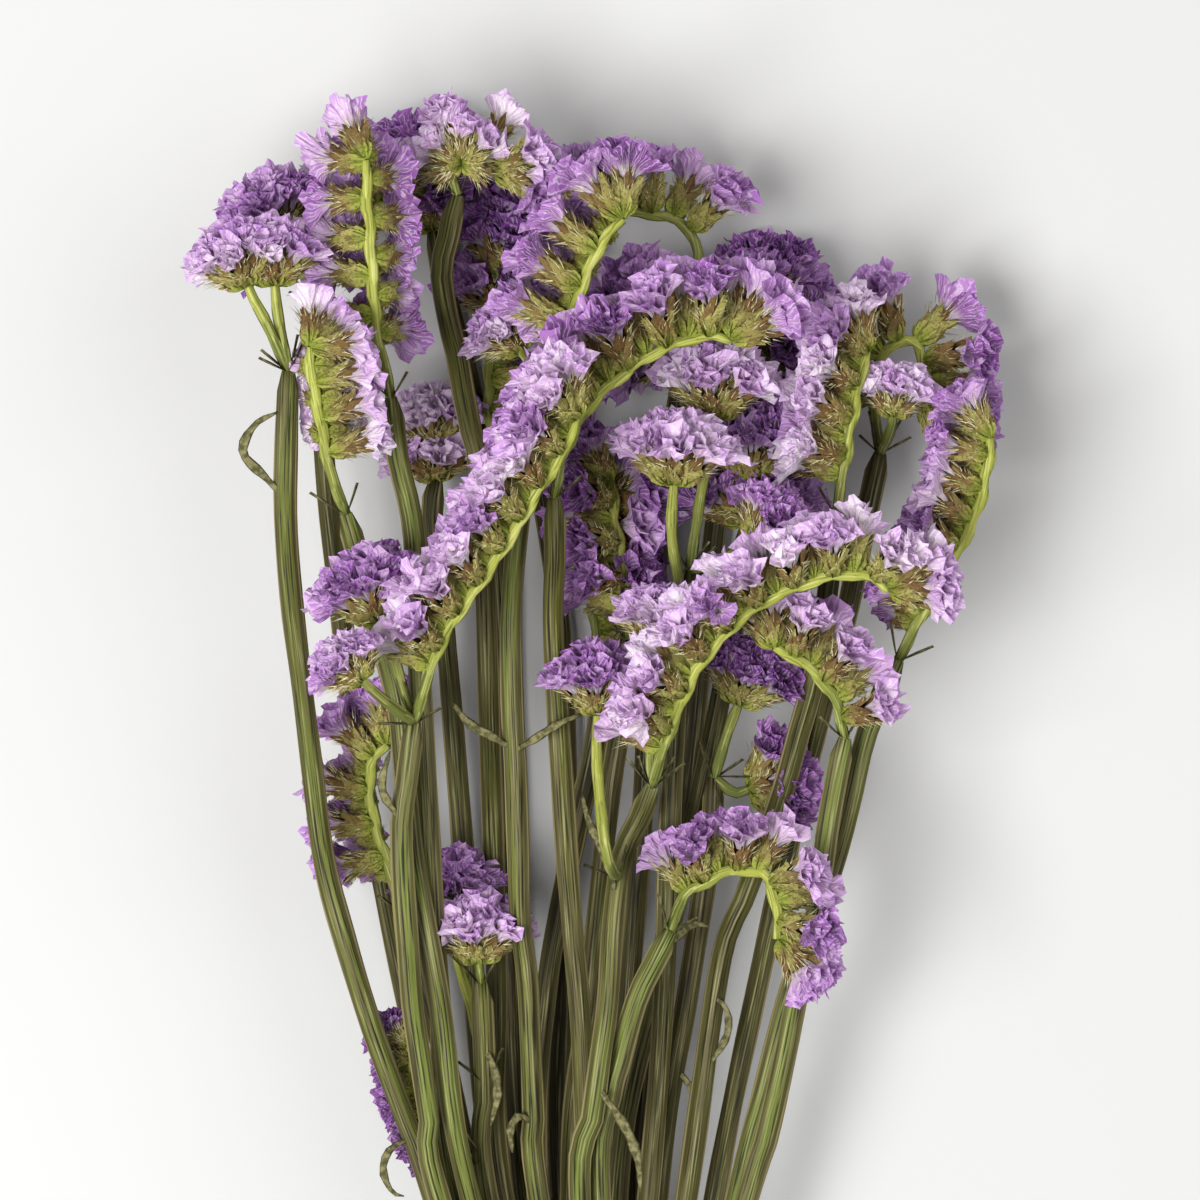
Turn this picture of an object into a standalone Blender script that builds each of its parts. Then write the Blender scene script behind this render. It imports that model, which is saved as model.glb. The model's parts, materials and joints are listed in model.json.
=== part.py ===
"""Dried statice: a cut and tied bunch lying on a surface, its heads toward +Y."""
import math
import random

import bmesh
import bpy
import numpy as np
from mathutils import Matrix, Vector

# Sizes in metres
PIXEL = 0.00025
MIDDLE_PX = 600
TIE_PX = 1640
HEAD_DISTANCE = 0.300
HEAD_MIDDLE = 0.050
HEAD_HALF = 0.044
CUT_END = -0.050
TIE_MIDDLE = 0.0153
TIE_ROW_RISE = 0.0042
TIE_PITCH = 0.0056
TIE_LENGTH = 0.012
TIE_INNER_X = 0.0177
TIE_INNER_Z = 0.0142
STEM_WIDE = 0.0026
STEM_THICK = 0.0017
STEM_TIED = 0.0021
BRANCH = 0.0013
BRACT = 0.0088
BRACT_WIDE = 0.0032
CORE = 0.0020
CALYX = 0.0095
CALYX_WIDE = 0.0063
SPIKE_STEP = 0.0138
GAP = 0.0004
REST_SINK = 0.0010
SAMPLE = 0.005
STEM_TRUE = 0.0010

# Colours from the photo, with roughness
PAINTS = {
    "stem_green": ((0.23, 0.25, 0.09, 1.0), 0.8),
    "stem_olive": ((0.15, 0.15, 0.06, 1.0), 0.85),
    "calyx_lilac": ((0.47, 0.36, 0.66, 1.0), 0.75),
    "calyx_violet": ((0.36, 0.17, 0.56, 1.0), 0.75),
    "calyx_dusky": ((0.29, 0.15, 0.36, 1.0), 0.8),
    "tie_straw": ((0.52, 0.40, 0.22, 1.0), 0.9),
}

sprays = []


def spray(name, depth, paint, *stem):
    """One flower stem, from the photo's lower edge up. Depth 1 is nearest the camera."""
    sprays.append(dict(name=name, depth=depth, paint=paint, stem=stem, heads=[], leaves=[]))


def cap(bloom, shade, size, lift, *path):
    """A round head that looks along the end of its branch."""
    sprays[-1]["heads"].append(dict(
        kind="cap", bloom=bloom, shade=shade, size=size, lift=lift, path=path))


def spike(bloom, shade, size, lift, side, tilt, first, *path):
    """A one-sided spike: flowers from point number first, side 1 is left of the way up."""
    sprays[-1]["heads"].append(dict(
        kind="spike", bloom=bloom, shade=shade, size=size, lift=lift, side=side,
        tilt=math.radians(tilt), first=first, path=path))


def leaf(wide, lift, *path):
    """A long dry leaf, from its stem to its tip."""
    sprays[-1]["leaves"].append(dict(wide=wide, lift=lift, path=path))


# The sprays, in photo pixels
spray("outer_left", 0.55, "stem_green", (432, 1200), (404, 1120), (372, 1030), (345, 940),
      (325, 860), (313, 760), (304, 680), (295, 600), (290, 520), (291, 450), (294, 375))
cap("outer_left", "calyx_lilac", 0.85, 4, (294, 375), (272, 326), (258, 300), (254, 288))
cap("outer_left", "calyx_lilac", 0.85, 1, (294, 375), (284, 320), (281, 286))
leaf(0.0024, 5, (290, 500), (272, 480), (250, 455), (262, 428), (285, 415))

spray("left_front", 0.50, "stem_green", (455, 1200), (440, 1000), (428, 800), (420, 640),
      (417, 545), (410, 500), (400, 460), (393, 400))
spike("left_front", "calyx_violet", 0.95, 4, 1, -75, 2, (393, 400), (388, 370), (381, 340),
      (378, 300), (376, 270), (375, 240), (372, 200), (373, 172))

spray("left_arch", 0.70, "stem_green", (470, 1200), (440, 1000), (415, 850), (405, 750),
      (400, 700), (385, 640), (365, 570), (350, 515))
spike("left_arch", "calyx_lilac", 0.9, 3, -1, -50, 2, (350, 515), (341, 490), (335, 465),
      (329, 435), (325, 410), (320, 385), (318, 355))

spray("top_left", -0.35, "stem_olive", (445, 1200), (400, 1000), (360, 800), (335, 600),
      (320, 450), (315, 300))
cap("far_left", "calyx_violet", 0.9, 2, (315, 300), (296, 262), (281, 234))
spike("top_left", "calyx_lilac", 0.9, -2, 1, -10, 1, (315, 300), (314, 255), (325, 228),
      (352, 208), (385, 198))

spray("top_middle", 0.05, "stem_olive", (500, 1200), (495, 1000), (490, 800), (485, 600),
      (477, 460), (470, 430), (462, 390), (455, 350), (447, 320), (440, 270), (447, 240),
      (452, 216), (458, 196))
spike("top_middle", "calyx_lilac", 0.95, 2, 1, 5, 1, (458, 196), (453, 174), (463, 157),
      (482, 155), (494, 172))

spray("back_top", -1.00, "stem_olive", (520, 1200), (505, 900), (495, 600), (470, 400),
      (440, 280), (428, 215))
cap("back_top", "calyx_dusky", 1.1, 0, (428, 215), (425, 195), (424, 178))
spike("back_middle", "calyx_dusky", 0.9, 6, -1, -25, 1, (488, 500), (488, 440), (486, 400),
      (487, 360), (488, 325))

spray("back_hollow", -0.90, "stem_olive", (560, 1200), (562, 1000), (566, 800), (556, 600),
      (528, 430), (502, 330))
cap("back_hollow", "calyx_dusky", 1.1, 0, (502, 330), (503, 290), (508, 262))

spray("centre", 0.35, "stem_green", (537, 1200), (533, 1120), (530, 1050), (527, 980),
      (520, 920), (518, 850), (515, 760), (512, 700), (512, 600), (525, 480), (550, 385))
spike("centre", "calyx_violet", 1.05, 5, 1, -38, 1, (550, 385), (560, 355), (572, 320),
      (585, 285), (600, 252), (622, 225))
cap("centre_left", "calyx_lilac", 0.75, -3, (550, 385), (530, 362), (518, 346))
leaf(0.0024, 6, (512, 748), (492, 735), (470, 722), (452, 700))
leaf(0.0022, 8, (513, 752), (535, 738), (560, 722), (585, 712))

spray("centre_right", 0.55, "stem_olive", (590, 1200), (580, 1020), (573, 940), (567, 860),
      (562, 780), (557, 700), (553, 620), (555, 560), (555, 500))
spike("centre_right", "calyx_violet", 1.1, 2, 1, 5, 1, (555, 500), (565, 455), (590, 410),
      (625, 378), (660, 355), (700, 342), (728, 345))

spray("diagonal", 0.95, "stem_green", (440, 1200), (430, 1120), (422, 1060), (414, 1000),
      (410, 940), (406, 880), (405, 820), (410, 780), (418, 720))
spike("diagonal", "calyx_lilac", 0.95, 8, 1, 15, 1, (418, 720), (440, 655), (457, 622),
      (480, 590), (500, 560), (520, 530), (540, 495), (560, 465), (578, 425))
cap("diagonal_left", "calyx_violet", 0.95, 2, (418, 720), (408, 690), (394, 640), (385, 615))
cap("diagonal_low", "calyx_lilac", 0.65, 10, (418, 720), (392, 698), (370, 675))
leaf(0.0022, 6, (406, 815), (396, 805), (386, 782), (394, 748))

spray("right_front", 0.85, "stem_green", (580, 1200), (592, 1120), (600, 1060), (608, 1000),
      (612, 930), (618, 880), (625, 850), (640, 820), (652, 785))
spike("right_front", "calyx_lilac", 0.95, 8, 1, 15, 1, (652, 785), (665, 740), (680, 700),
      (698, 663), (730, 625), (760, 602), (790, 588), (820, 578), (855, 575), (880, 590))
cap("right_prong", "calyx_lilac", 0.75, -2, (652, 785), (650, 720), (655, 660), (657, 640))
cap("bright", "calyx_violet", 0.9, 2, (617, 885), (605, 840), (597, 760), (598, 708))
leaf(0.0022, 8, (616, 890), (602, 850), (588, 818), (581, 790))

spray("low_right", 0.72, "stem_green", (600, 1200), (610, 1100), (620, 1060), (630, 1020),
      (640, 990), (655, 960), (670, 930))
spike("low_right", "calyx_violet", 0.9, 6, 1, 5, 1, (670, 930), (684, 898), (702, 884),
      (725, 872), (748, 868), (766, 876), (774, 900), (776, 935))

spray("right", 0.50, "stem_green", (750, 1200), (765, 1150), (785, 1060), (800, 980),
      (812, 930), (820, 880), (828, 820), (838, 760), (843, 737))
spike("right", "calyx_lilac", 0.95, 4, -1, 5, 1, (843, 737), (840, 718), (830, 694),
      (814, 674), (795, 658), (772, 648))

spray("far_right", 0.20, "stem_green", (740, 1200), (765, 1100), (790, 1000), (808, 950),
      (826, 895), (840, 850), (852, 800), (864, 745), (880, 700), (898, 660))
spike("far_right", "calyx_violet", 0.9, 2, 1, -30, 1, (898, 660), (918, 622), (940, 582),
      (960, 545), (976, 508), (984, 472), (988, 440))

spray("inner_right", -0.10, "stem_olive", (690, 1200), (722, 970), (745, 905), (765, 850),
      (785, 790), (800, 735), (815, 680), (828, 600), (837, 515))
spike("inner_right", "calyx_lilac", 0.95, 2, 1, 5, 1, (837, 515), (842, 480), (847, 445),
      (853, 410), (860, 375), (868, 352))

spray("top_right", -0.50, "stem_olive", (720, 1200), (760, 1000), (800, 820), (850, 620),
      (872, 510), (885, 450))
spike("top_right", "calyx_violet", 1.08, 0, 1, 0, 1, (885, 450), (880, 400), (884, 362),
      (900, 338), (922, 340), (930, 365), (928, 395))
cap("right_small", "calyx_lilac", 0.7, 16, (885, 450), (893, 430), (895, 412))

spray("back_right", -1.00, "stem_olive", (640, 1200), (660, 1000), (690, 800), (710, 600),
      (730, 450), (760, 350))
cap("back_right", "calyx_dusky", 1.0, 0, (760, 350), (768, 320), (772, 295))
cap("back_right", "calyx_dusky", 0.9, 2, (760, 350), (790, 345), (808, 330))

spray("back_centre", -0.60, "stem_olive", (615, 1200), (630, 1000), (645, 800), (655, 600),
      (680, 400), (698, 285))
spike("back_centre", "calyx_violet", 1.05, 4, -1, 0, 2, (698, 285), (700, 245), (690, 222),
      (660, 208), (625, 206), (590, 210))
cap("back_inner", "calyx_violet", 1.1, 0, (684, 380), (662, 340), (650, 322))

spray("middle_right", 0.00, "stem_olive", (650, 1200), (665, 1000), (672, 800), (680, 650),
      (690, 570))
cap("middle_top", "calyx_lilac", 1.0, 4, (690, 570), (700, 500), (710, 440), (712, 412))
cap("middle_low", "calyx_lilac", 0.95, 10, (684, 610), (672, 540), (672, 500), (674, 480))
cap("middle_side", "calyx_violet", 0.8, 0, (690, 570), (722, 560), (752, 540))

spray("low_left", -0.20, "stem_olive", (470, 1200), (440, 1060), (415, 970), (398, 915))
spike("low_left", "calyx_violet", 0.95, 2, 1, -35, 1, (398, 915), (390, 880), (380, 850),
      (372, 820), (368, 790), (371, 764), (386, 745))

spray("low_middle", 0.30, "stem_green", (485, 1200), (484, 1100), (482, 1030), (480, 985))
cap("low_middle", "calyx_violet", 0.9, 2, (480, 985), (479, 968), (478, 958))
cap("low_middle_back", "calyx_violet", 0.85, -8, (484, 1090), (472, 1020), (455, 960),
    (450, 915))
spike("little", "calyx_dusky", 0.6, 4, 1, 5, 1, (484, 1165), (440, 1150), (422, 1120),
      (412, 1085), (408, 1050))

spray("back_left", -0.80, "stem_olive", (490, 1200), (470, 1000), (455, 800), (440, 620),
      (428, 520), (432, 475))
cap("back_left", "calyx_lilac", 0.85, 2, (432, 475), (433, 455), (431, 440))

spray("inner", -0.45, "stem_olive", (570, 1200), (590, 1000), (610, 800), (625, 700),
      (628, 640))
spike("inner", "calyx_dusky", 1.0, 2, 1, 20, 1, (628, 640), (626, 600), (622, 560),
      (615, 520), (612, 480))

spray("inner_back", -0.48, "stem_olive", (535, 1200), (545, 1000), (572, 850), (592, 760),
      (604, 690))
spike("inner_back", "calyx_dusky", 1.1, 0, -1, 10, 1, (604, 690), (598, 650), (592, 600),
      (590, 552), (592, 508))

spray("inner_far", -0.40, "stem_olive", (618, 1200), (655, 1000), (690, 850), (722, 700),
      (742, 580), (750, 520))
cap("back_low", "calyx_dusky", 1.1, 0, (750, 520), (752, 495), (752, 474))

spray("inner_low", -0.30, "stem_olive", (660, 1200), (690, 1000), (712, 850), (716, 780))
cap("inner_low", "calyx_dusky", 0.9, 4, (716, 780), (731, 728), (742, 700))
cap("inner_side", "calyx_dusky", 0.9, 0, (716, 790), (738, 796), (757, 790))

# Stems that the tie presses into one body
PRESSED = {
    "back_sprays": ("back_left", "back_top", "back_hollow", "back_centre", "back_right"),
    "inner_sprays": ("inner_back", "inner", "inner_far", "inner_low"),
}


def green_nodes():
    """Each green node's name, with the sprays that it holds."""
    held = {name: node for node, names in PRESSED.items() for name in names}
    nodes = {}
    for i, s in enumerate(sprays):
        nodes.setdefault(held.get(s["name"], s["name"] + "_spray"), []).append(i)
    return nodes


def flat(point):
    """A photo pixel as X and Y."""
    return np.array([(point[0] - MIDDLE_PX) * PIXEL, (TIE_PX - point[1]) * PIXEL])


def smooth(points, step):
    """A Catmull-Rom path through the points, resampled at about one step."""
    points = np.asarray(points, float)
    ends = np.vstack([2 * points[0] - points[1], points, 2 * points[-1] - points[-2]])
    fine = []
    for i in range(1, len(ends) - 2):
        a, b, c, d = ends[i - 1:i + 3]
        for t in np.arange(0, 1, 0.1):
            fine.append(0.5 * (2 * b + (c - a) * t + (2 * a - 5 * b + 4 * c - d) * t * t
                               + (3 * b - a - 3 * c + d) * t ** 3))
    fine.append(points[-1])
    fine = np.array(fine)
    run = np.r_[0, np.cumsum(np.linalg.norm(np.diff(fine, axis=0), axis=1))]
    count = max(2, int(round(run[-1] / step)) + 1)
    at = np.linspace(0, run[-1], count)
    return np.stack([np.interp(at, run, fine[:, k]) for k in range(fine.shape[1])], 1)


def rise(y, depth):
    """The height of a spray that far up the bunch."""
    far = min(1.0, max(0.0, y / HEAD_DISTANCE))
    middle = TIE_MIDDLE + (HEAD_MIDDLE - TIE_MIDDLE) * far
    return middle + depth * (0.010 + (HEAD_HALF - 0.010) * far)


def tie_places():
    """Where each stem passes the tie: five rows by depth, each ordered by X."""
    order = sorted(range(len(sprays)), key=lambda i: sprays[i]["depth"])
    rows = [5, 6, 6, 5, 4]
    places = {}
    start = 0
    for number, size in enumerate(rows):
        row = sorted(order[start:start + size], key=lambda i: sprays[i]["stem"][0][0])
        start += size
        for k, i in enumerate(row):
            places[i] = ((k - (size - 1) / 2) * TIE_PITCH,
                         TIE_MIDDLE + (number - 2) * TIE_ROW_RISE)
    return places


def frames(path):
    """The level unit tangent at each point of a path."""
    return [Vector((t[0], t[1], 0)).normalized() for t in np.gradient(path, axis=0)]


def flower_axis(head, tangent):
    """The way a spike's flowers look."""
    side = Vector((-tangent.y, tangent.x, 0)).normalized() * head["side"]
    return side * math.cos(head["tilt"]) + Vector((0, 0, 1)) * math.sin(head["tilt"])


def make_strands():
    """Every stem and branch as a path, with the heights still to be settled."""
    strands = []
    places = tie_places()
    for i, s in enumerate(sprays):
        x, z = places[i]
        points = [(x * 1.02, CUT_END), (x, -0.012), (x, 0.012)]
        points += [tuple(flat(p)) for p in s["stem"]]
        path = smooth(points, SAMPLE)
        heights = []
        for q in path:
            if q[1] < 0.012:
                heights.append(z)
            else:
                blend = min(1.0, (q[1] - 0.012) / 0.10)
                heights.append(z * (1 - blend) + rise(q[1], s["depth"]) * blend)
        stem = dict(spray=i, kind="stem", path=np.c_[path, heights], head=None, root=None)
        strands.append(stem)
        number = len(strands) - 1
        for head in s["heads"]:
            path = smooth([flat(p) for p in head["path"]], SAMPLE)
            near = int(np.argmin(np.linalg.norm(stem["path"][:, :2] - path[0], axis=1)))
            path[0] = stem["path"][near, :2]
            along = np.linspace(0, 1, len(path))
            heights = [rise(q[1], s["depth"]) + head["lift"] * 0.001 * min(1, t * 2)
                       for q, t in zip(path, along)]
            strands.append(dict(spray=i, kind=head["kind"], path=np.c_[path, heights],
                                head=head, root=(number, near)))
            if head["kind"] == "spike":
                first = flat(head["path"][head["first"]])
                head["start"] = int(np.argmin(np.linalg.norm(path - first, axis=1)))
    return strands


def clearances(strand):
    """Spheres round a strand: place, half width, half height, whether it is a bloom."""
    out = []
    path, head = strand["path"], strand["head"]
    ways = frames(path)
    for k, p in enumerate(path):
        if strand["kind"] == "stem":
            thin = p[1] < 0.03
            out.append((k, (0, 0, 0), STEM_TIED if thin else STEM_WIDE + 0.0004,
                        STEM_THICK if thin else STEM_THICK + 0.0006, False))
            continue
        out.append((k, (0, 0, 0), BRANCH + 0.0004, BRANCH + 0.0004, False))
        size = head["size"]
        if head["kind"] == "spike" and k >= head["start"]:
            axis = flower_axis(head, ways[k])
            out.append((k, axis * (BRACT * size * 0.55), 0.0042 * size, 0.0046 * size, False))
            out.append((k, axis * ((BRACT + CORE + 0.0045) * size), 0.0088 * size,
                        0.0102 * size, True))
    if head and head["kind"] == "cap":
        k, axis, size = len(path) - 1, ways[-1], head["size"]
        out.append((k, axis * (BRACT * size * 0.5), 0.0045 * size, 0.0045 * size, False))
        out.append((k, axis * ((BRACT + CORE + 0.0040) * size), 0.0112 * size,
                    0.0112 * size, True))
    return out


def settle(strands):
    """Raises and lowers the strands until the sprays clear one another."""
    place, wide, tall, bloom, owner, slot = [], [], [], [], [], []
    starts, total = [], 0
    for n, strand in enumerate(strands):
        starts.append(total)
        for k, off, w, h, is_bloom in clearances(strand):
            place.append(strand["path"][k] + np.array(off))
            wide.append(w)
            tall.append(h)
            bloom.append(is_bloom)
            owner.append(n)
            slot.append(total + k)
        total += len(strand["path"])
    place, wide, tall = np.array(place), np.array(wide), np.array(tall)
    bloom, owner, slot = np.array(bloom), np.array(owner), np.array(slot)
    level = np.concatenate([s["path"][:, 2] for s in strands])
    held = np.concatenate([s["path"][:, 1] < 0.016 for s in strands])
    offset = place[:, 2] - level[slot]
    group = np.array([strands[n]["spray"] for n in owner])
    names = [s["head"]["bloom"] if s["head"] else "" for s in strands]
    name = np.array([names[n] for n in owner])
    i, j = np.triu_indices(len(place), 1)
    flat_gap = np.hypot(place[i, 0] - place[j, 0], place[i, 1] - place[j, 1])
    reach = wide[i] + wide[j] + 2 * GAP
    same = group[i] == group[j]
    apart = ~same | ((bloom[i] | bloom[j]) & (name[i] != name[j]))
    keep = (flat_gap < reach) & apart
    i, j = i[keep], j[keep]
    need = (tall[i] + tall[j] + 2 * GAP) * np.sqrt(1 - (flat_gap[keep] / reach[keep]) ** 2)
    keys = np.array([sprays[s["spray"]]["depth"] * HEAD_HALF
                     + (s["head"]["lift"] * 0.001 if s["head"] else 0) for s in strands])
    sign = np.where(keys[owner[j]] >= keys[owner[i]], 1.0, -1.0)
    wanted = level.copy()
    low = np.full(total, 0.0)
    np.maximum.at(low, slot, tall - offset - REST_SINK)
    for _ in range(1800):
        now = level[slot] + offset
        short = need - sign * (now[j] - now[i])
        hit = short > 0
        push = np.zeros(total)
        count = np.full(total, 1e-9)
        for who, way in ((i, -1.0), (j, 1.0)):
            np.add.at(push, slot[who[hit]], way * sign[hit] * short[hit] * 0.5)
            np.add.at(count, slot[who[hit]], 1.0)
        move = push / np.maximum(count, 1.0)
        move += (wanted - level) * 0.003
        for n, strand in enumerate(strands):
            if strand["root"]:
                number, near = strand["root"]
                part = move[starts[n]:starts[n] + len(strand["path"])]
                move[starts[number] + near] += 0.5 * float(np.mean(part))
        for n, strand in enumerate(strands):
            a = starts[n]
            b = a + len(strand["path"])
            part = move[a:b]
            soft = part.copy()
            for _ in range(3):
                soft = np.convolve(np.pad(soft, 2, mode="edge"),
                                   (0.1, 0.2, 0.4, 0.2, 0.1), mode="valid")
            move[a:b] = 0.5 * part + 0.5 * soft
        move[held] = 0
        level = np.maximum(level + move, low)
        level[held] = wanted[held]
        for n, strand in enumerate(strands):
            a = starts[n]
            b = a + len(strand["path"])
            part = level[a:b]
            inner = 0.25 * part[:-2] + 0.5 * part[1:-1] + 0.25 * part[2:]
            free = ~held[a + 1:b - 1]
            part[1:-1][free] = (0.7 * part[1:-1] + 0.3 * inner)[free]
            if strand["root"]:
                number, near = strand["root"]
                part[0] = level[starts[number] + near]
    for n, strand in enumerate(strands):
        strand["path"][:, 2] = level[starts[n]:starts[n] + len(strand["path"])]


def link(name, mesh):
    """A new object in the work collection."""
    made = bpy.data.objects.new(name, mesh)
    work.objects.link(made)
    return made


def outline(name, points):
    """A closed profile that the stems are swept with."""
    data = bpy.data.curves.new(name, "CURVE")
    data.dimensions = "2D"
    spline = data.splines.new("POLY")
    spline.points.add(len(points) - 1)
    for point, (x, y) in zip(spline.points, points):
        point.co = (x, y, 0, 1)
    spline.use_cyclic_u = True
    return link(name, data)


def sweep(path, radii, profile):
    """A closed body: the profile carried along a path."""
    data = bpy.data.curves.new("sweep", "CURVE")
    data.dimensions = "3D"
    data.twist_mode = "Z_UP"
    data.use_fill_caps = True
    data.bevel_mode = "OBJECT"
    data.bevel_object = profile
    spline = data.splines.new("POLY")
    spline.points.add(len(path) - 1)
    for point, at, radius in zip(spline.points, path, radii):
        point.co = (at[0], at[1], at[2], 1)
        point.radius = radius
    curve = link("sweep", data)
    bpy.context.view_layer.update()
    seen = curve.evaluated_get(bpy.context.evaluated_depsgraph_get())
    mesh = bpy.data.meshes.new_from_object(seen)
    bpy.data.objects.remove(curve)
    bm = bmesh.new()
    bm.from_mesh(mesh)
    bmesh.ops.remove_doubles(bm, verts=bm.verts, dist=0.000002)
    bmesh.ops.recalc_face_normals(bm, faces=bm.faces)
    bm.to_mesh(mesh)
    bm.free()
    return link("sweep", mesh)


def turned(axis, twist):
    """A turn that takes Z to the axis."""
    return (axis.to_track_quat("Z", "Y").to_matrix().to_4x4()
            @ Matrix.Rotation(twist, 4, "Z"))


def calyx(at, axis, size, chance):
    """A papery funnel with a frilled rim, its narrow end sunk in the core."""
    bm = bmesh.new()
    length = CALYX * size
    bmesh.ops.create_cone(bm, cap_ends=True, cap_tris=True, segments=6, radius1=0,
                          radius2=CALYX_WIDE * size, depth=length,
                          matrix=Matrix.Translation((0, 0, length / 2)))
    rim = sorted((v for v in bm.verts if math.hypot(v.co.x, v.co.y) > 0.001),
                 key=lambda v: math.atan2(v.co.y, v.co.x))
    for k, v in enumerate(rim):
        grow = 1.12 if k % 2 else 0.84
        v.co.x *= grow * chance.uniform(0.93, 1.07)
        v.co.y *= grow * chance.uniform(0.93, 1.07)
        v.co.z += length * (0.05 if k % 2 else -0.07)
    for v in bm.verts:
        if math.hypot(v.co.x, v.co.y) < 0.001 and v.co.z > length / 2:
            v.co.z -= length * 0.34
    place = Matrix.Translation(at) @ turned(axis, chance.uniform(0, 6.28))
    bmesh.ops.transform(bm, matrix=place, verts=bm.verts)
    bmesh.ops.recalc_face_normals(bm, faces=bm.faces)
    mesh = bpy.data.meshes.new("calyx")
    bm.to_mesh(mesh)
    bm.free()
    return link("calyx", mesh)


def bract(at, axis, length, wide, twist):
    """A pointed scale cluster, its root sunk in the stem."""
    bm = bmesh.new()
    bmesh.ops.create_uvsphere(bm, u_segments=4, v_segments=2, radius=1)
    for v in bm.verts:
        if abs(v.co.z) < 0.5:
            v.co.x *= wide
            v.co.y *= wide
            v.co.z = length * 0.52
        else:
            v.co.z = length if v.co.z > 0 else -0.0007
    bmesh.ops.transform(bm, matrix=Matrix.Translation(at) @ turned(axis, twist),
                        verts=bm.verts)
    bmesh.ops.recalc_face_normals(bm, faces=bm.faces)
    mesh = bpy.data.meshes.new("bract")
    bm.to_mesh(mesh)
    bm.free()
    return link("bract", mesh)


def core_ball(at, radius):
    """The middle of a round head."""
    bm = bmesh.new()
    bmesh.ops.create_uvsphere(bm, u_segments=4, v_segments=2, radius=radius * 1.2,
                              matrix=Matrix.Translation(at))
    mesh = bpy.data.meshes.new("core")
    bm.to_mesh(mesh)
    bm.free()
    return link("core", mesh)


def fuse(name, pieces, paint):
    """One closed body from pieces that run into one another, kept above the surface."""
    base = pieces[0]
    extra = bpy.data.collections.new(name + "_pieces")
    bpy.context.scene.collection.children.link(extra)
    for piece in pieces[1:]:
        work.objects.unlink(piece)
        extra.objects.link(piece)
    if len(pieces) > 1:
        join = base.modifiers.new("join", "BOOLEAN")
        join.operation = "UNION"
        join.operand_type = "COLLECTION"
        join.collection = extra
        join.solver = "MANIFOLD"
    low = min((p.matrix_world @ v.co).z for p in pieces for v in p.data.vertices)
    if low < 0:
        trim = base.modifiers.new("trim", "BOOLEAN")
        trim.operation = "DIFFERENCE"
        trim.object = ground
        trim.solver = "MANIFOLD"
    bpy.context.view_layer.update()
    seen = base.evaluated_get(bpy.context.evaluated_depsgraph_get())
    mesh = bpy.data.meshes.new_from_object(seen)
    mesh.name = name
    largest_body(mesh)
    mesh.materials.clear()
    mesh.materials.append(paints[paint])
    for piece in pieces:
        bpy.data.objects.remove(piece)
    bpy.data.collections.remove(extra)
    made = bpy.data.objects.new(name, mesh)
    bunch.objects.link(made)
    return made


def largest_body(mesh):
    """Leaves out the crumbs that a tight curl can pinch off."""
    bm = bmesh.new()
    bm.from_mesh(mesh)
    left = set(bm.verts)
    bodies = []
    while left:
        todo = [left.pop()]
        body = set(todo)
        while todo:
            for edge in todo.pop().link_edges:
                for other in edge.verts:
                    if other in left:
                        left.discard(other)
                        body.add(other)
                        todo.append(other)
        bodies.append(body)
    bodies.sort(key=len)
    crumbs = [v for body in bodies[:-1] for v in body]
    bmesh.ops.delete(bm, geom=crumbs, context="VERTS")
    bm.to_mesh(mesh)
    bm.free()


def thin_out(path, true):
    """The fewest stations that keep the path true within that distance."""
    path = np.asarray(path, float)
    if len(path) < 3:
        return path
    span = path[-1] - path[0]
    along = np.clip((path - path[0]) @ span / (span @ span), 0, 1)
    away = np.linalg.norm(path - path[0] - along[:, None] * span, axis=1)
    far = int(np.argmax(away))
    if away[far] < true:
        return path[[0, -1]]
    return np.vstack([thin_out(path[:far + 1], true)[:-1], thin_out(path[far:], true)])


def green_body(node, members, strands):
    """One green node: the sprays that it holds, pressed together inside the tie."""
    pieces = []
    for i in members:
        pieces += spray_pieces(i, strands)
    places = tie_places()
    line = sorted(places[i] for i in members)
    for (xa, za), (xb, zb) in zip(line, line[1:]):
        pieces.append(sweep(np.array([(xa, 0, za), (xb, 0, zb)]), [BRANCH] * 2, rounded))
    fuse(node, pieces, sprays[members[0]]["paint"])


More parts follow.
